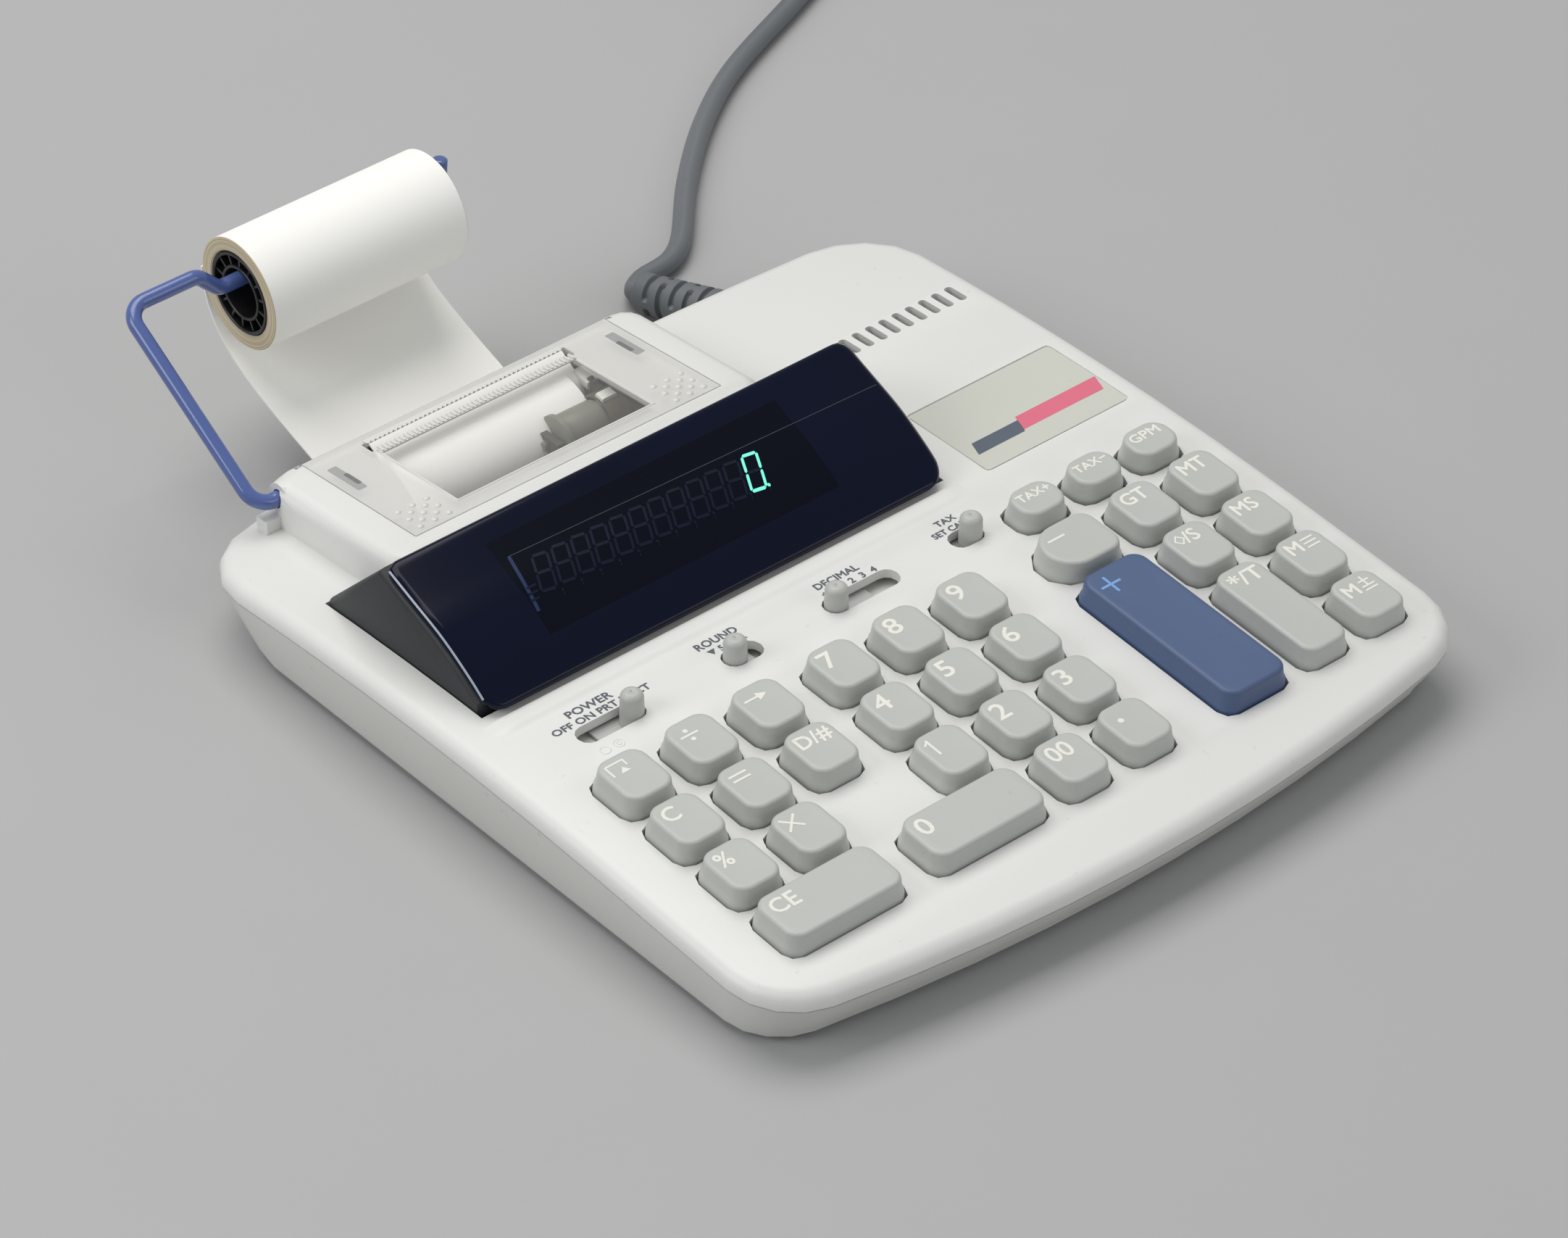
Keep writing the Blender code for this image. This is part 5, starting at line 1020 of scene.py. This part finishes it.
COMMA = np.array([(0.0, 0.0), (0.0003, 0.0), (0.0, -0.0007), (-0.0003, -0.0007)])
DASH = np.array([(0.0, 0.0), (0.0026, 0.0), (0.0026, 0.0005), (0.0, 0.0005)])
unlit = [digit(k, "abcdefg") for k in range(11)] + [digit(11, "g")] + [window_dot(k, 0.00036) for k in range(11)]
unlit += [on_window(COMMA + np.array([cell_end(k, 0.0010), DIGIT_FOOT - 0.0006])) for k in range(12)]
unlit += [on_window(DASH + np.array([DIGIT_LEFT - 0.0040 + DIGIT_LEAN * dy, DIGIT_FOOT + dy]))
          for dy in (0.0004, 0.0018, 0.0032)]
add_piece("digits_unlit", *merged(unlit), CELL, "case", "window_navy")
add_piece("digits_lit", *merged([digit(11, "abcdef"), window_dot(11, 0.0004)]), LIT, "case", "window_navy")


CREASE_X0, CREASE_X1, CREASE_Y, CREASE_FALL = -0.0660, 0.0405, 0.0086, 0.0245


def crease():
    """Fine line across the window where its lower face meets the upper one, falling to the right; its light colour is a
    painted reflection along that fold.
    """
    x = np.linspace(CREASE_X0, CREASE_X1, 60)
    y = CREASE_Y - (x - CREASE_X0) * CREASE_FALL
    return swept(np.stack([x, *face_point(y, -0.00002)], -1), circle(0.00007, 6))


add_piece("window_crease_painted_glint", *crease(), CREASE_PAINTED_GLINT, "case", "window_navy")

# ---- printer lid
refined("printer_cover", "lid", LID, "cover", 30.0)


# The lid's top is a plane: its height at the front edge and its slope
lid_profile = profile_above("printer_cover", -0.0630, LID_LOW.y + 0.002, LID_HIGH.y - 0.006, 20)
lid_slope, lid_start = np.polyfit(*lid_profile, 1)
LID_FRONT_Z = lid_start + lid_slope * LID_LOW.y


def lid_height(y):
    """Height of the lid's top at y."""
    return LID_FRONT_Z + (y - LID_LOW.y) * lid_slope


GRIP_R, GRIP_TIP, GRIP_RISE, GRIP_PITCH, GRIP_ROW = 0.00095, 0.00008, 0.0005, 0.0041, 0.0021


def grip_dots():
    """Thirteen low domes at the front of each end panel, in five staggered rows."""
    levels = [(GRIP_R * math.cos(b), -0.0001 + GRIP_RISE * math.sin(b)) for b in np.linspace(0.0, math.pi / 2, 5)[:-1]]
    levels.append((GRIP_TIP, 0.0004))
    parts = []
    for middle in ((LID_LOW.x + LID_CLEAR[0]) / 2, (LID_HIGH.x + LID_CLEAR[1]) / 2):
        for row, count in enumerate((3, 2, 3, 2, 3)):
            y = LID_LOW.y + 0.0024 + row * GRIP_ROW
            for k in range(count):
                place = np.array([middle + (k - (count - 1) / 2) * GRIP_PITCH, y])
                parts.append(skin(np.stack([at_heights(circle(r, 14) + place, (lid_height(y) + z,))[0]
                                            for r, z in levels])))
    return merged(parts)


add_piece("lid_grip_dots", *grip_dots(), MILKY, "cover", "cover_clear", 70.0)


def slab(x0, x1, y0, y1, lift, thick, radius=0.0004):
    """Flat rounded slab parallel to the lid."""
    outline = rounded_between(x0, x1, y0, y1, radius)
    base = lid_height(outline[:, 1])
    return skin(at_heights(outline, (base + lift - thick, base + lift)))


# Painted shadows of the latches under the frosted end panels: grey plates laid on the lid's top
HOOK_SHADE = finish("lid_hook_shadow", (120, 120, 120), 0.4, mottle=0.8, bump=0.0)
for name, mat, middles, half, y0, y1, lift in (
        ("lid_latches", SHADE, (-0.0676, 0.0145), 0.0013, 0.0600, 0.0722, 0.00002),
        ("lid_latch_hooks", HOOK_SHADE, (-0.0668, 0.0137), 0.0006, 0.0622, 0.0680, 0.00004)):
    add_piece(name, *merged([slab(x - half, x + half, y0, y1, lift, 0.0001) for x in middles]), mat, "cover",
              "cover_clear")


def rim_frame():
    """Raised bevelled frame round the clear window on the lid's top: a ridge carried round a rectangle."""
    x0, x1, y0, _ = LID_CLEAR
    y1 = SLOT[2] - 0.0012
    corners = np.array([(x0, y0), (x1, y0), (x1, y1), (x0, y1)])
    rings = []
    for out, up in ((-0.0005, -0.0001), (-0.0002, 0.0002), (0.0002, 0.0002), (0.0005, -0.0001)):
        shift = corners + np.sign(corners - corners.mean(0)) * out
        rings.append(np.column_stack([shift, lid_height(shift[:, 1]) + up]))
    return hoop(np.stack(rings))


add_piece("lid_window_rim", *rim_frame(), MILKY, "cover", "cover_clear", 20.0)


TEAR_X0, TEAR_X1 = SLOT[0] + 0.0006, SLOT[1] - 0.0006
TOOTH, RIB_PITCH, RIB_HALF = 0.0013, 0.00125, 0.00032


def tear_teeth():
    """Saw edge along the back of the tear slot: a zigzag strip."""
    count = int((TEAR_X1 - TEAR_X0) / TOOTH) * 2 + 1
    x = np.linspace(TEAR_X0, TEAR_X1, count)
    front = SLOT[3] - 0.0004 - 0.0007 * (np.arange(count) % 2)
    back = np.full(count, SLOT[3] + 0.0009)
    return skin(np.stack([np.column_stack([x, y, lid_height(y) + lift]) for y, lift in
                          ((front, 0.00025), (front, -0.0006), (back, -0.0006), (back, 0.00025))], 1))


add_piece("tear_teeth_back", *tear_teeth(), MILKY, "cover", "cover_clear", 20.0)


def tear_comb():
    """Comb along the front of the tear slot: a low rail and a row of fine ribs across it, 1.25 mm apart."""
    y0, y1 = SLOT[2] - 0.0016, SLOT[2] + 0.0004
    ribs = [slab(x - RIB_HALF, x + RIB_HALF, y0 + 0.0002, y1 + 0.0005, 0.00062, 0.0004, 0.0002)
            for x in np.arange(TEAR_X0 + 0.0008, TEAR_X1 - 0.0004, RIB_PITCH)]
    return merged([slab(TEAR_X0, TEAR_X1, y0, y1, 0.0003, 0.0004, 0.0002)] + ribs)


add_piece("tear_comb_front", *tear_comb(), MILKY, "cover", "cover_clear", 20.0)

# ---- printer inside the lid
INK_LOW, INK_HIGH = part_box("ink_roller")
INK_Y, INK_Z = (INK_LOW.y + INK_HIGH.y) / 2, (INK_LOW.z + INK_HIGH.z) / 2


def round_x(x, radius, angle, y, z):
    """Points at x round an axis along X through y and z."""
    return np.column_stack([np.full(len(angle), x), y + radius * np.cos(angle), z + radius * np.sin(angle)])


def ink_roller():
    """Turned roller with a flange and a rounded wheel at its left end, on a thin axle."""
    return round_bar((INK_LOW.x, INK_Y, INK_Z), (INK_HIGH.x, INK_Y, INK_Z),
                     [(0.0, 0.0011), (0.19, 0.0011), (0.195, 0.0058), (0.21, 0.0062), (0.27, 0.0062), (0.285, 0.0057),
                      (0.29, 0.0051), (0.31, 0.0054), (0.5, 0.00545), (0.8, 0.0054), (0.84, 0.0051), (0.845, 0.0012),
                      (1.0, 0.0011)], 40)


add_piece("ink_drum", *ink_roller(), OLIVE, "ink_body", "ink_olive", 40.0, ("ink_roller",))


def gear(x0, x1, y, z, radius, teeth):
    """Spur wheel: radius swings between root and tip round the axis, with a hub."""
    angle = full_turn(teeth * 4)
    swing = np.where((np.arange(teeth * 4) % 4) < 2, radius, radius * 0.84)
    return skin(np.stack([round_x(x, reach, angle, y, z) for x, reach in
                          ((x0, radius * 0.2), (x0, swing), (x1, swing), (x1, radius * 0.2))]))


mech_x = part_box("printer_frame")[1].x
for name, mat, wheel in (
        ("feed_gear_small", DARK, (mech_x - 0.0063, mech_x - 0.0048, 0.0640, 0.0235, 0.0042, 14)),
        ("feed_gear_large", BROWN, (mech_x - 0.0090, mech_x - 0.0068, 0.0560, 0.0200, 0.0052, 16))):
    add_piece(name, *gear(*wheel), mat, "case", "frame_dark", 25.0)


def lever(x, y, z, width, length, rise, tall=0.0022):
    """White finger: a rounded bar bent upward at its back end."""
    t = np.linspace(0.0, 1.0, 16)
    path = np.stack([np.full(16, x), y + length * t, z + rise * t ** 2], -1)
    return swept(path, rounded_rectangle(width / 2, tall / 2, (0.0004,) * 4, 3))


add_piece("release_levers", *merged([lever(0.0030, 0.0640, 0.0258, 0.0034, 0.0055, 0.0012),
                                     lever(0.0012, 0.0555, 0.0268, 0.0044, 0.0028, 0.0004)]),
          WHITE, "case", "frame_dark", 40.0)


HOOD_OUTER, HOOD_INNER, HOOD_FROM, HOOD_TO = 0.0064, 0.0058, 15, 165


def ink_hood():
    """Half-round hood over the right part of the ink drum."""
    a = np.radians(np.linspace(HOOD_FROM, HOOD_TO, 20))
    rings = np.stack([np.concatenate([round_x(x, HOOD_OUTER, a, INK_Y, INK_Z),
                                      round_x(x, HOOD_INNER, a[::-1], INK_Y, INK_Z)])
                      for x in (INK_HIGH.x - 0.0035, INK_HIGH.x + 0.0028)])
    return rings.reshape(-1, 3), grid_faces(2, 40).tolist() + [tuple(range(40))[::-1], tuple(range(40, 80))]


add_piece("ink_hood", *ink_hood(), BROWN, "case", "frame_dark", 30.0)

# ---- paper roll, core and web
CORE_LOW, CORE_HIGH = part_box("roll_core")
ROLL_R, CORE_R = (ROLL_HIGH.z - ROLL_LOW.z) / 2, (CORE_HIGH.z - CORE_LOW.z) / 2
BROKEN, WEBS, WEB_HALF = 0.0002, 14, 0.0003


def ring_body(x0, x1, outer, inner, sides=128):
    """Turned tube: a rectangular section with broken edges swept round the roll's axis."""
    e = BROKEN
    section = [(x0 + e, outer), (x1 - e, outer), (x1, outer - e), (x1, inner + e), (x1 - e, inner), (x0 + e, inner),
               (x0, inner + e), (x0, outer - e)]
    return hoop(np.stack([round_x(x, r, full_turn(sides), ROLL_CENTRE.y, ROLL_CENTRE.z) for x, r in section]))


roll_piece = add_piece("roll_paper", *ring_body(ROLL_LOW.x, ROLL_HIGH.x, ROLL_R, CORE_R + 0.0003), (PAPER, LAYERS),
                       "roll", "paper_white", 40.0, ("paper_roll",))
for polygon in roll_piece.data.polygons:
    if abs(polygon.normal.x) > 0.6:
        polygon.material_index = 1


def spoked_core():
    """Black core: outer tube, hub tube and fourteen webs, recessed a little in each face."""
    parts = [ring_body(CORE_LOW.x, CORE_HIGH.x, CORE_R, CORE_R - 0.0009, 72),
             ring_body(CORE_LOW.x + 0.0003, CORE_HIGH.x - 0.0003, 0.0071, 0.0063, 60)]
    for k in range(WEBS):
        angle = math.tau * (k + 0.5) / WEBS
        along = np.array([math.cos(angle), math.sin(angle)])
        across = np.array([-along[1], along[0]]) * WEB_HALF
        near, far = along * 0.0068, along * (CORE_R - 0.0008)
        section = np.stack([near - across, far - across, far + across, near + across]) + ROLL_CENTRE.yz
        parts.append(skin(np.stack([np.column_stack([np.full(4, x), section])
                                    for x in (CORE_LOW.x + 0.0006, CORE_HIGH.x - 0.0006)])))
    return merged(parts)


add_piece("roll_hub", *spoked_core(), CORE, "roll", "core_black", 40.0, ("roll_core",))
# The strip joins the case to the roll
strip = refined("paper_web", "paper_strip", PAPER, None, 60.0)
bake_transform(strip)

DRUM_R, DRUM_WIDEN, SHEET_THICK = 0.0118, 1.25, 0.00015
WEB_LOW, WEB_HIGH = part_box("paper_web")


def paper_drum():
    """Sheet seen through the lid: it comes forward from the tear slot and falls in a quarter of an oval to the
    floor of the printer, a little narrower than the web."""
    a = np.linspace(math.radians(84), math.radians(-12), 40)
    centre = np.array([SLOT[3] - 0.0044, lid_height(SLOT[2]) - 0.0031 - DRUM_R])
    section = np.concatenate([centre + r * np.column_stack([-DRUM_WIDEN * np.cos(turn), np.sin(turn)])
                              for r, turn in ((DRUM_R, a), (DRUM_R - SHEET_THICK, a[::-1]))])
    verts = np.concatenate([np.column_stack([np.full(80, x), section])
                            for x in np.linspace(WEB_LOW.x + 0.0006, WEB_HIGH.x - 0.0030, 3)])
    ends = [(base + i, base + i + 1, base + 78 - i, base + 79 - i) for base in (0, 160) for i in range(39)]
    return verts, grid_faces(3, 80).tolist() + ends


add_piece("paper_drum", *paper_drum(), PAPER, "case", "paper_white", 60.0)

# ---- wire arm
def bent_route(route, radii, steps=14):
    """Points of a bent wire: straight runs joined by arcs that touch them."""
    route = [np.array(p, float) for p in route]
    points = [route[0]]
    for before, corner, after, radius in zip(route[:-2], route[1:-1], route[2:], radii):
        into, away = unit(corner - before), unit(after - corner)
        turn = math.acos(float(np.clip(into @ away, -1, 1)))
        start = corner - into * radius * math.tan(turn / 2)
        centre = corner + unit(away - into) * radius / math.cos(turn / 2)
        for t in turn * np.arange(steps + 1) / steps:
            points.append(centre + (start - centre) * math.cos(t) + into * radius * math.sin(t))
    points.append(route[-1])
    return np.array(points)


ARM_LOW, ARM_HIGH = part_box("paper_arm")
ROD, ROD_SIDES = 0.0019, 28
PIN_X, PIN_Y, PIN_Z, UPPER_Z, ROD_Z, KINK_X, HOOK_X = -0.07297, 0.07514, 0.0266, 0.0566, 0.0506, -0.06067, 0.00427
arm_x, arm_y = ARM_LOW.x + ROD, ROLL_CENTRE.y
arm_path = bent_route([(PIN_X, PIN_Y, PIN_Z), (arm_x, PIN_Y, PIN_Z), (arm_x, arm_y, UPPER_Z),
                       (KINK_X - 0.0060, arm_y, UPPER_Z), (KINK_X, arm_y, ROD_Z), (HOOK_X, arm_y, ROD_Z),
                       (HOOK_X + 0.0006, arm_y, ARM_HIGH.z)], (0.0050, 0.0052, 0.0042, 0.0042, 0.0026))


def wire_arm():
    """Bent rod of 1.9 mm radius with rounded ends."""
    n = len(arm_path)
    rings = swept(arm_path, circle(ROD, ROD_SIDES))[0][:n * ROD_SIDES].reshape(n, ROD_SIDES, 3)
    caps = []
    for end, inner in ((rings[0], rings[1]), (rings[-1], rings[-2])):
        middle = end.mean(0)
        out = unit(middle - inner.mean(0))
        caps.append([middle + (end - middle) * k - out * d * ROD
                     for k, d in ((0.55, 0.02), (0.85, 0.08), (1.0, 0.25))])
    return skin(np.concatenate([np.stack(caps[0]), rings[1:-1], np.stack(caps[1][::-1])]))


add_piece("wire_arm", *wire_arm(), ARM, "arm", "arm_blue", 60.0, ("paper_arm",))

# ---- relief, cord and plug
RELIEF_BASE = np.array([60.27, 84.70, 8.82]) * MM
RELIEF_ALONG = np.array([-0.26497, 0.95490, -0.13399])
RELIEF_LONG, CORD_R = 0.0245, 0.00275
SLEEVE_R, SLEEVE_TAPER, NECK_R, END_ROUND, END_REACH = 0.0056, 0.0005, 0.0038, 0.0006, 0.0007
GROOVES, GROOVE_HALF, GROOVE_DEEP, BRIDGE, BRIDGE_SOFT = 5, 0.00085, 0.0013, 0.22, 0.12


def relief_sleeve():
    """Turned sleeve 5.6 to 5.1 mm in radius with five round-bottomed grooves; each is broken by two bridges on
    opposite sides, a quarter turn on from the last, so that the slots stand staggered."""
    side = unit(np.cross(RELIEF_ALONG, UP))
    up = np.cross(side, RELIEF_ALONG)
    angle = full_turn(72)
    around = np.cos(angle)[:, None] * side + np.sin(angle)[:, None] * up
    along = np.concatenate([[-0.0100, -0.0099, -0.0001, 0.0], np.linspace(0.0002, RELIEF_LONG - 0.0002, 150),
                            [RELIEF_LONG]])
    pitch = RELIEF_LONG / (GROOVES + 1)
    rings = []
    for d in along:
        radius = np.full(72, NECK_R)
        if d >= 0:
            nearest = max(1, min(GROOVES, round(d / pitch)))
            off = abs(d - nearest * pitch * 0.985)
            cut = GROOVE_DEEP * np.clip(1 - (off / GROOVE_HALF) ** 4, 0, 1)
            turn = angle + (math.pi / 2 if nearest % 2 else 0.0)
            radius = (SLEEVE_R - SLEEVE_TAPER * d / RELIEF_LONG
                      - cut * np.clip((np.abs(np.cos(turn)) - BRIDGE) / BRIDGE_SOFT, 0, 1)
                      - END_ROUND * (1 - min(min(d, RELIEF_LONG - d) / END_REACH, 1.0)) ** 2)
        rings.append(RELIEF_BASE + RELIEF_ALONG * d + radius[:, None] * around)
    return skin(np.stack(rings))


add_piece("cord_sleeve", *relief_sleeve(), RELIEF, "case", "cord_grey", 40.0, ("cord_relief",))

# The cord's way in millimetres: its exit from the sleeve, then the knots of its run
CORD_EXIT = np.array([53.70, 108.38, 5.49]) * MM
CORD_KNOTS = np.array([(53.33, 109.69, 5.31), (53.9, 110.84, 4.1), (56.6, 113.94, 2.9)]
                      + [(x, y, 2.75) for x, y in ((60.4, 115.74), (64.1, 116.14), (68.6, 116.74), (73.3, 118.84),
                                                   (78.4, 122.84), (95.5, 141.14), (115.0, 158.44), (136.0, 172.44),
                                                   (171.0, 187.94), (191.57, 197.06), (212.14, 206.17))]) * MM
COIL_X, COIL_Y, COIL_START, COIL_PITCH, COIL_OUTER, COIL_INNER = 0.20165, 0.24418, -1.153689, 0.0060, 0.0390, 0.0165
COIL_RISE, TAIL = 0.0060, 0.0300
# Steps of a 24th of a turn: in one layer, and in the climb between the two
LAYER, CLIMB, TURN = 90, 12, 24


def through(knots, per_span=12):
    """Centripetal curve through knots: each span is the cubic whose end slopes are those of its neighbours."""
    padded = np.vstack([2 * knots[0] - knots[1], knots, 2 * knots[-1] - knots[-2]])
    out = []
    for k in range(1, len(padded) - 2):
        p = padded[k - 1:k + 3]
        step = np.sqrt(np.maximum(np.linalg.norm(np.diff(p, axis=0), axis=1), 1e-9))
        m1 = ((p[1] - p[0]) / step[0] - (p[2] - p[0]) / (step[0] + step[1]) + (p[2] - p[1]) / step[1]) * step[1]
        m2 = ((p[2] - p[1]) / step[1] - (p[3] - p[1]) / (step[1] + step[2]) + (p[3] - p[2]) / step[2]) * step[1]
        t = np.linspace(0.0, 1.0, per_span, endpoint=False)[:, None]
        out.append((2 * t ** 3 - 3 * t ** 2 + 1) * p[1] + (t ** 3 - 2 * t ** 2 + t) * m1
                   + (3 * t ** 2 - 2 * t ** 3) * p[2] + (t ** 3 - t ** 2) * m2)
    return np.vstack(out + [knots[-1:]])


def cord_line():
    """Centre line of the whole cord: the run from the sleeve, a flat spiral in, a climb of one thickness, and the
    spiral out again on top to the plug."""
    run = np.vstack([CORD_EXIT, through(CORD_KNOTS)])
    k = np.arange(2 * LAYER + CLIMB + 1)
    angle = COIL_START + math.tau * k / TURN
    share = np.clip((k - LAYER) / CLIMB, 0, 1)
    turned = share * CLIMB / TURN
    radius = np.where(k <= LAYER, COIL_OUTER - COIL_PITCH * k / TURN,
                      np.where(share < 1, COIL_INNER - COIL_PITCH * np.minimum(turned, CLIMB / TURN - turned),
                               COIL_INNER + COIL_PITCH * (k - LAYER - CLIMB) / TURN))
    coil = through(np.stack([COIL_X + radius * np.cos(angle), COIL_Y + radius * np.sin(angle),
                             CORD_R + COIL_RISE * smooth_step(share)], -1), 3)
    away = np.array([-math.sin(angle[-1]), math.cos(angle[-1]), 0.0])
    return np.vstack([run, coil, coil[-1] + away * np.linspace(0.0, TAIL, 8)[1:, None]])


def even(points, spacing):
    """The same line with points this far apart."""
    walked = np.concatenate([[0.0], np.cumsum(np.linalg.norm(np.diff(points, axis=0), axis=1))])
    stations = np.linspace(0.0, walked[-1], int(walked[-1] / spacing) + 1)
    return np.stack([np.interp(stations, walked, points[:, i]) for i in range(3)], -1)


line = even(cord_line(), 0.0022)


def twin_section():
    """Two lobes side by side: an oval 5.5 mm wide and 5.2 mm thick, pinched by a sixth above and below."""
    angle = full_turn(28)
    pinch = 1 - 0.16 * np.exp(-(np.cos(angle) / 0.24) ** 2)
    return np.stack([0.00275 * np.cos(angle), 0.00262 * np.sin(angle) * pinch], -1)


mains_cord = add_piece("mains_cord", *swept(line, twin_section()), CORD, "case", "cord_grey", 60.0,
                       ("cord_run", "cord_coil"))
tail_dir = unit(line[-1] - line[-2])
tail_side = np.array([-tail_dir[1], tail_dir[0], 0.0])
FINGER_FROM, FINGER_TO, FINGER_DEEP, FINGER_RATE = 0.62, 0.92, 0.00045, 42.0
PLUG_FROM, PLUG_LONG, PLUG_ROUND, ROUND_FROM = 0.0004, 0.0236, 0.0006, 0.96
CORD_HALF_W, CORD_HALF_H, GROW_W, GROW_H = 0.0034, 0.0033, 0.0066, 0.0052
BLADE_FROM, BLADE_APART, BLADE_THICK, BLADE_WIDE = 0.0212, 0.00635, 0.00075, 0.0031


def plug_ring(section, reach, sideways=0.0):
    """A flat section stood across the cord's end, this far on from it and to the side."""
    centre = line[-1] + tail_dir * reach + tail_side * sideways
    return centre + section[:, :1] * tail_side + section[:, 1:] * UP


def moulded_plug():
    """Two-pin plug: rounded sections from the cord's size up to a block, with two finger grooves a side."""
    rings = []
    for along in np.linspace(0.0, 1.0, 60):
        grow = smooth_step((along - 0.12) / 0.5)
        groove = max(0.0, math.sin((along - FINGER_FROM) * FINGER_RATE)) * (FINGER_FROM < along < FINGER_TO)
        less = PLUG_ROUND * max(0.0, along - ROUND_FROM) / (1 - ROUND_FROM)
        half_w, half_h = CORD_HALF_W + GROW_W * grow - FINGER_DEEP * groove - less, CORD_HALF_H + GROW_H * grow - less
        section = rounded_rectangle(half_w, half_h, (min(half_w, half_h) * 0.62,) * 4, 7)
        rings.append(plug_ring(section, PLUG_FROM + PLUG_LONG * along))
    return skin(np.stack(rings))


def plug_blades():
    """Two flat blades with rounded tips."""
    return merged([skin(np.stack([plug_ring(rounded_rectangle(BLADE_THICK, BLADE_WIDE * size, (0.0003,) * 4, 4),
                                            BLADE_FROM + reach, sideways)
                                  for reach, size in ((0.0, 1.0), (0.0165, 1.0), (0.0174, 0.86), (0.0178, 0.6))]))
                   for sideways in (-BLADE_APART, BLADE_APART)])


plug = add_piece("plug_body", *moulded_plug(), RELIEF, "case", "plug_plastic", 45.0, ("power_plug",))
blades = add_piece("plug_blades", *plug_blades(), BRASS, "case", "plug_plastic", 40.0)
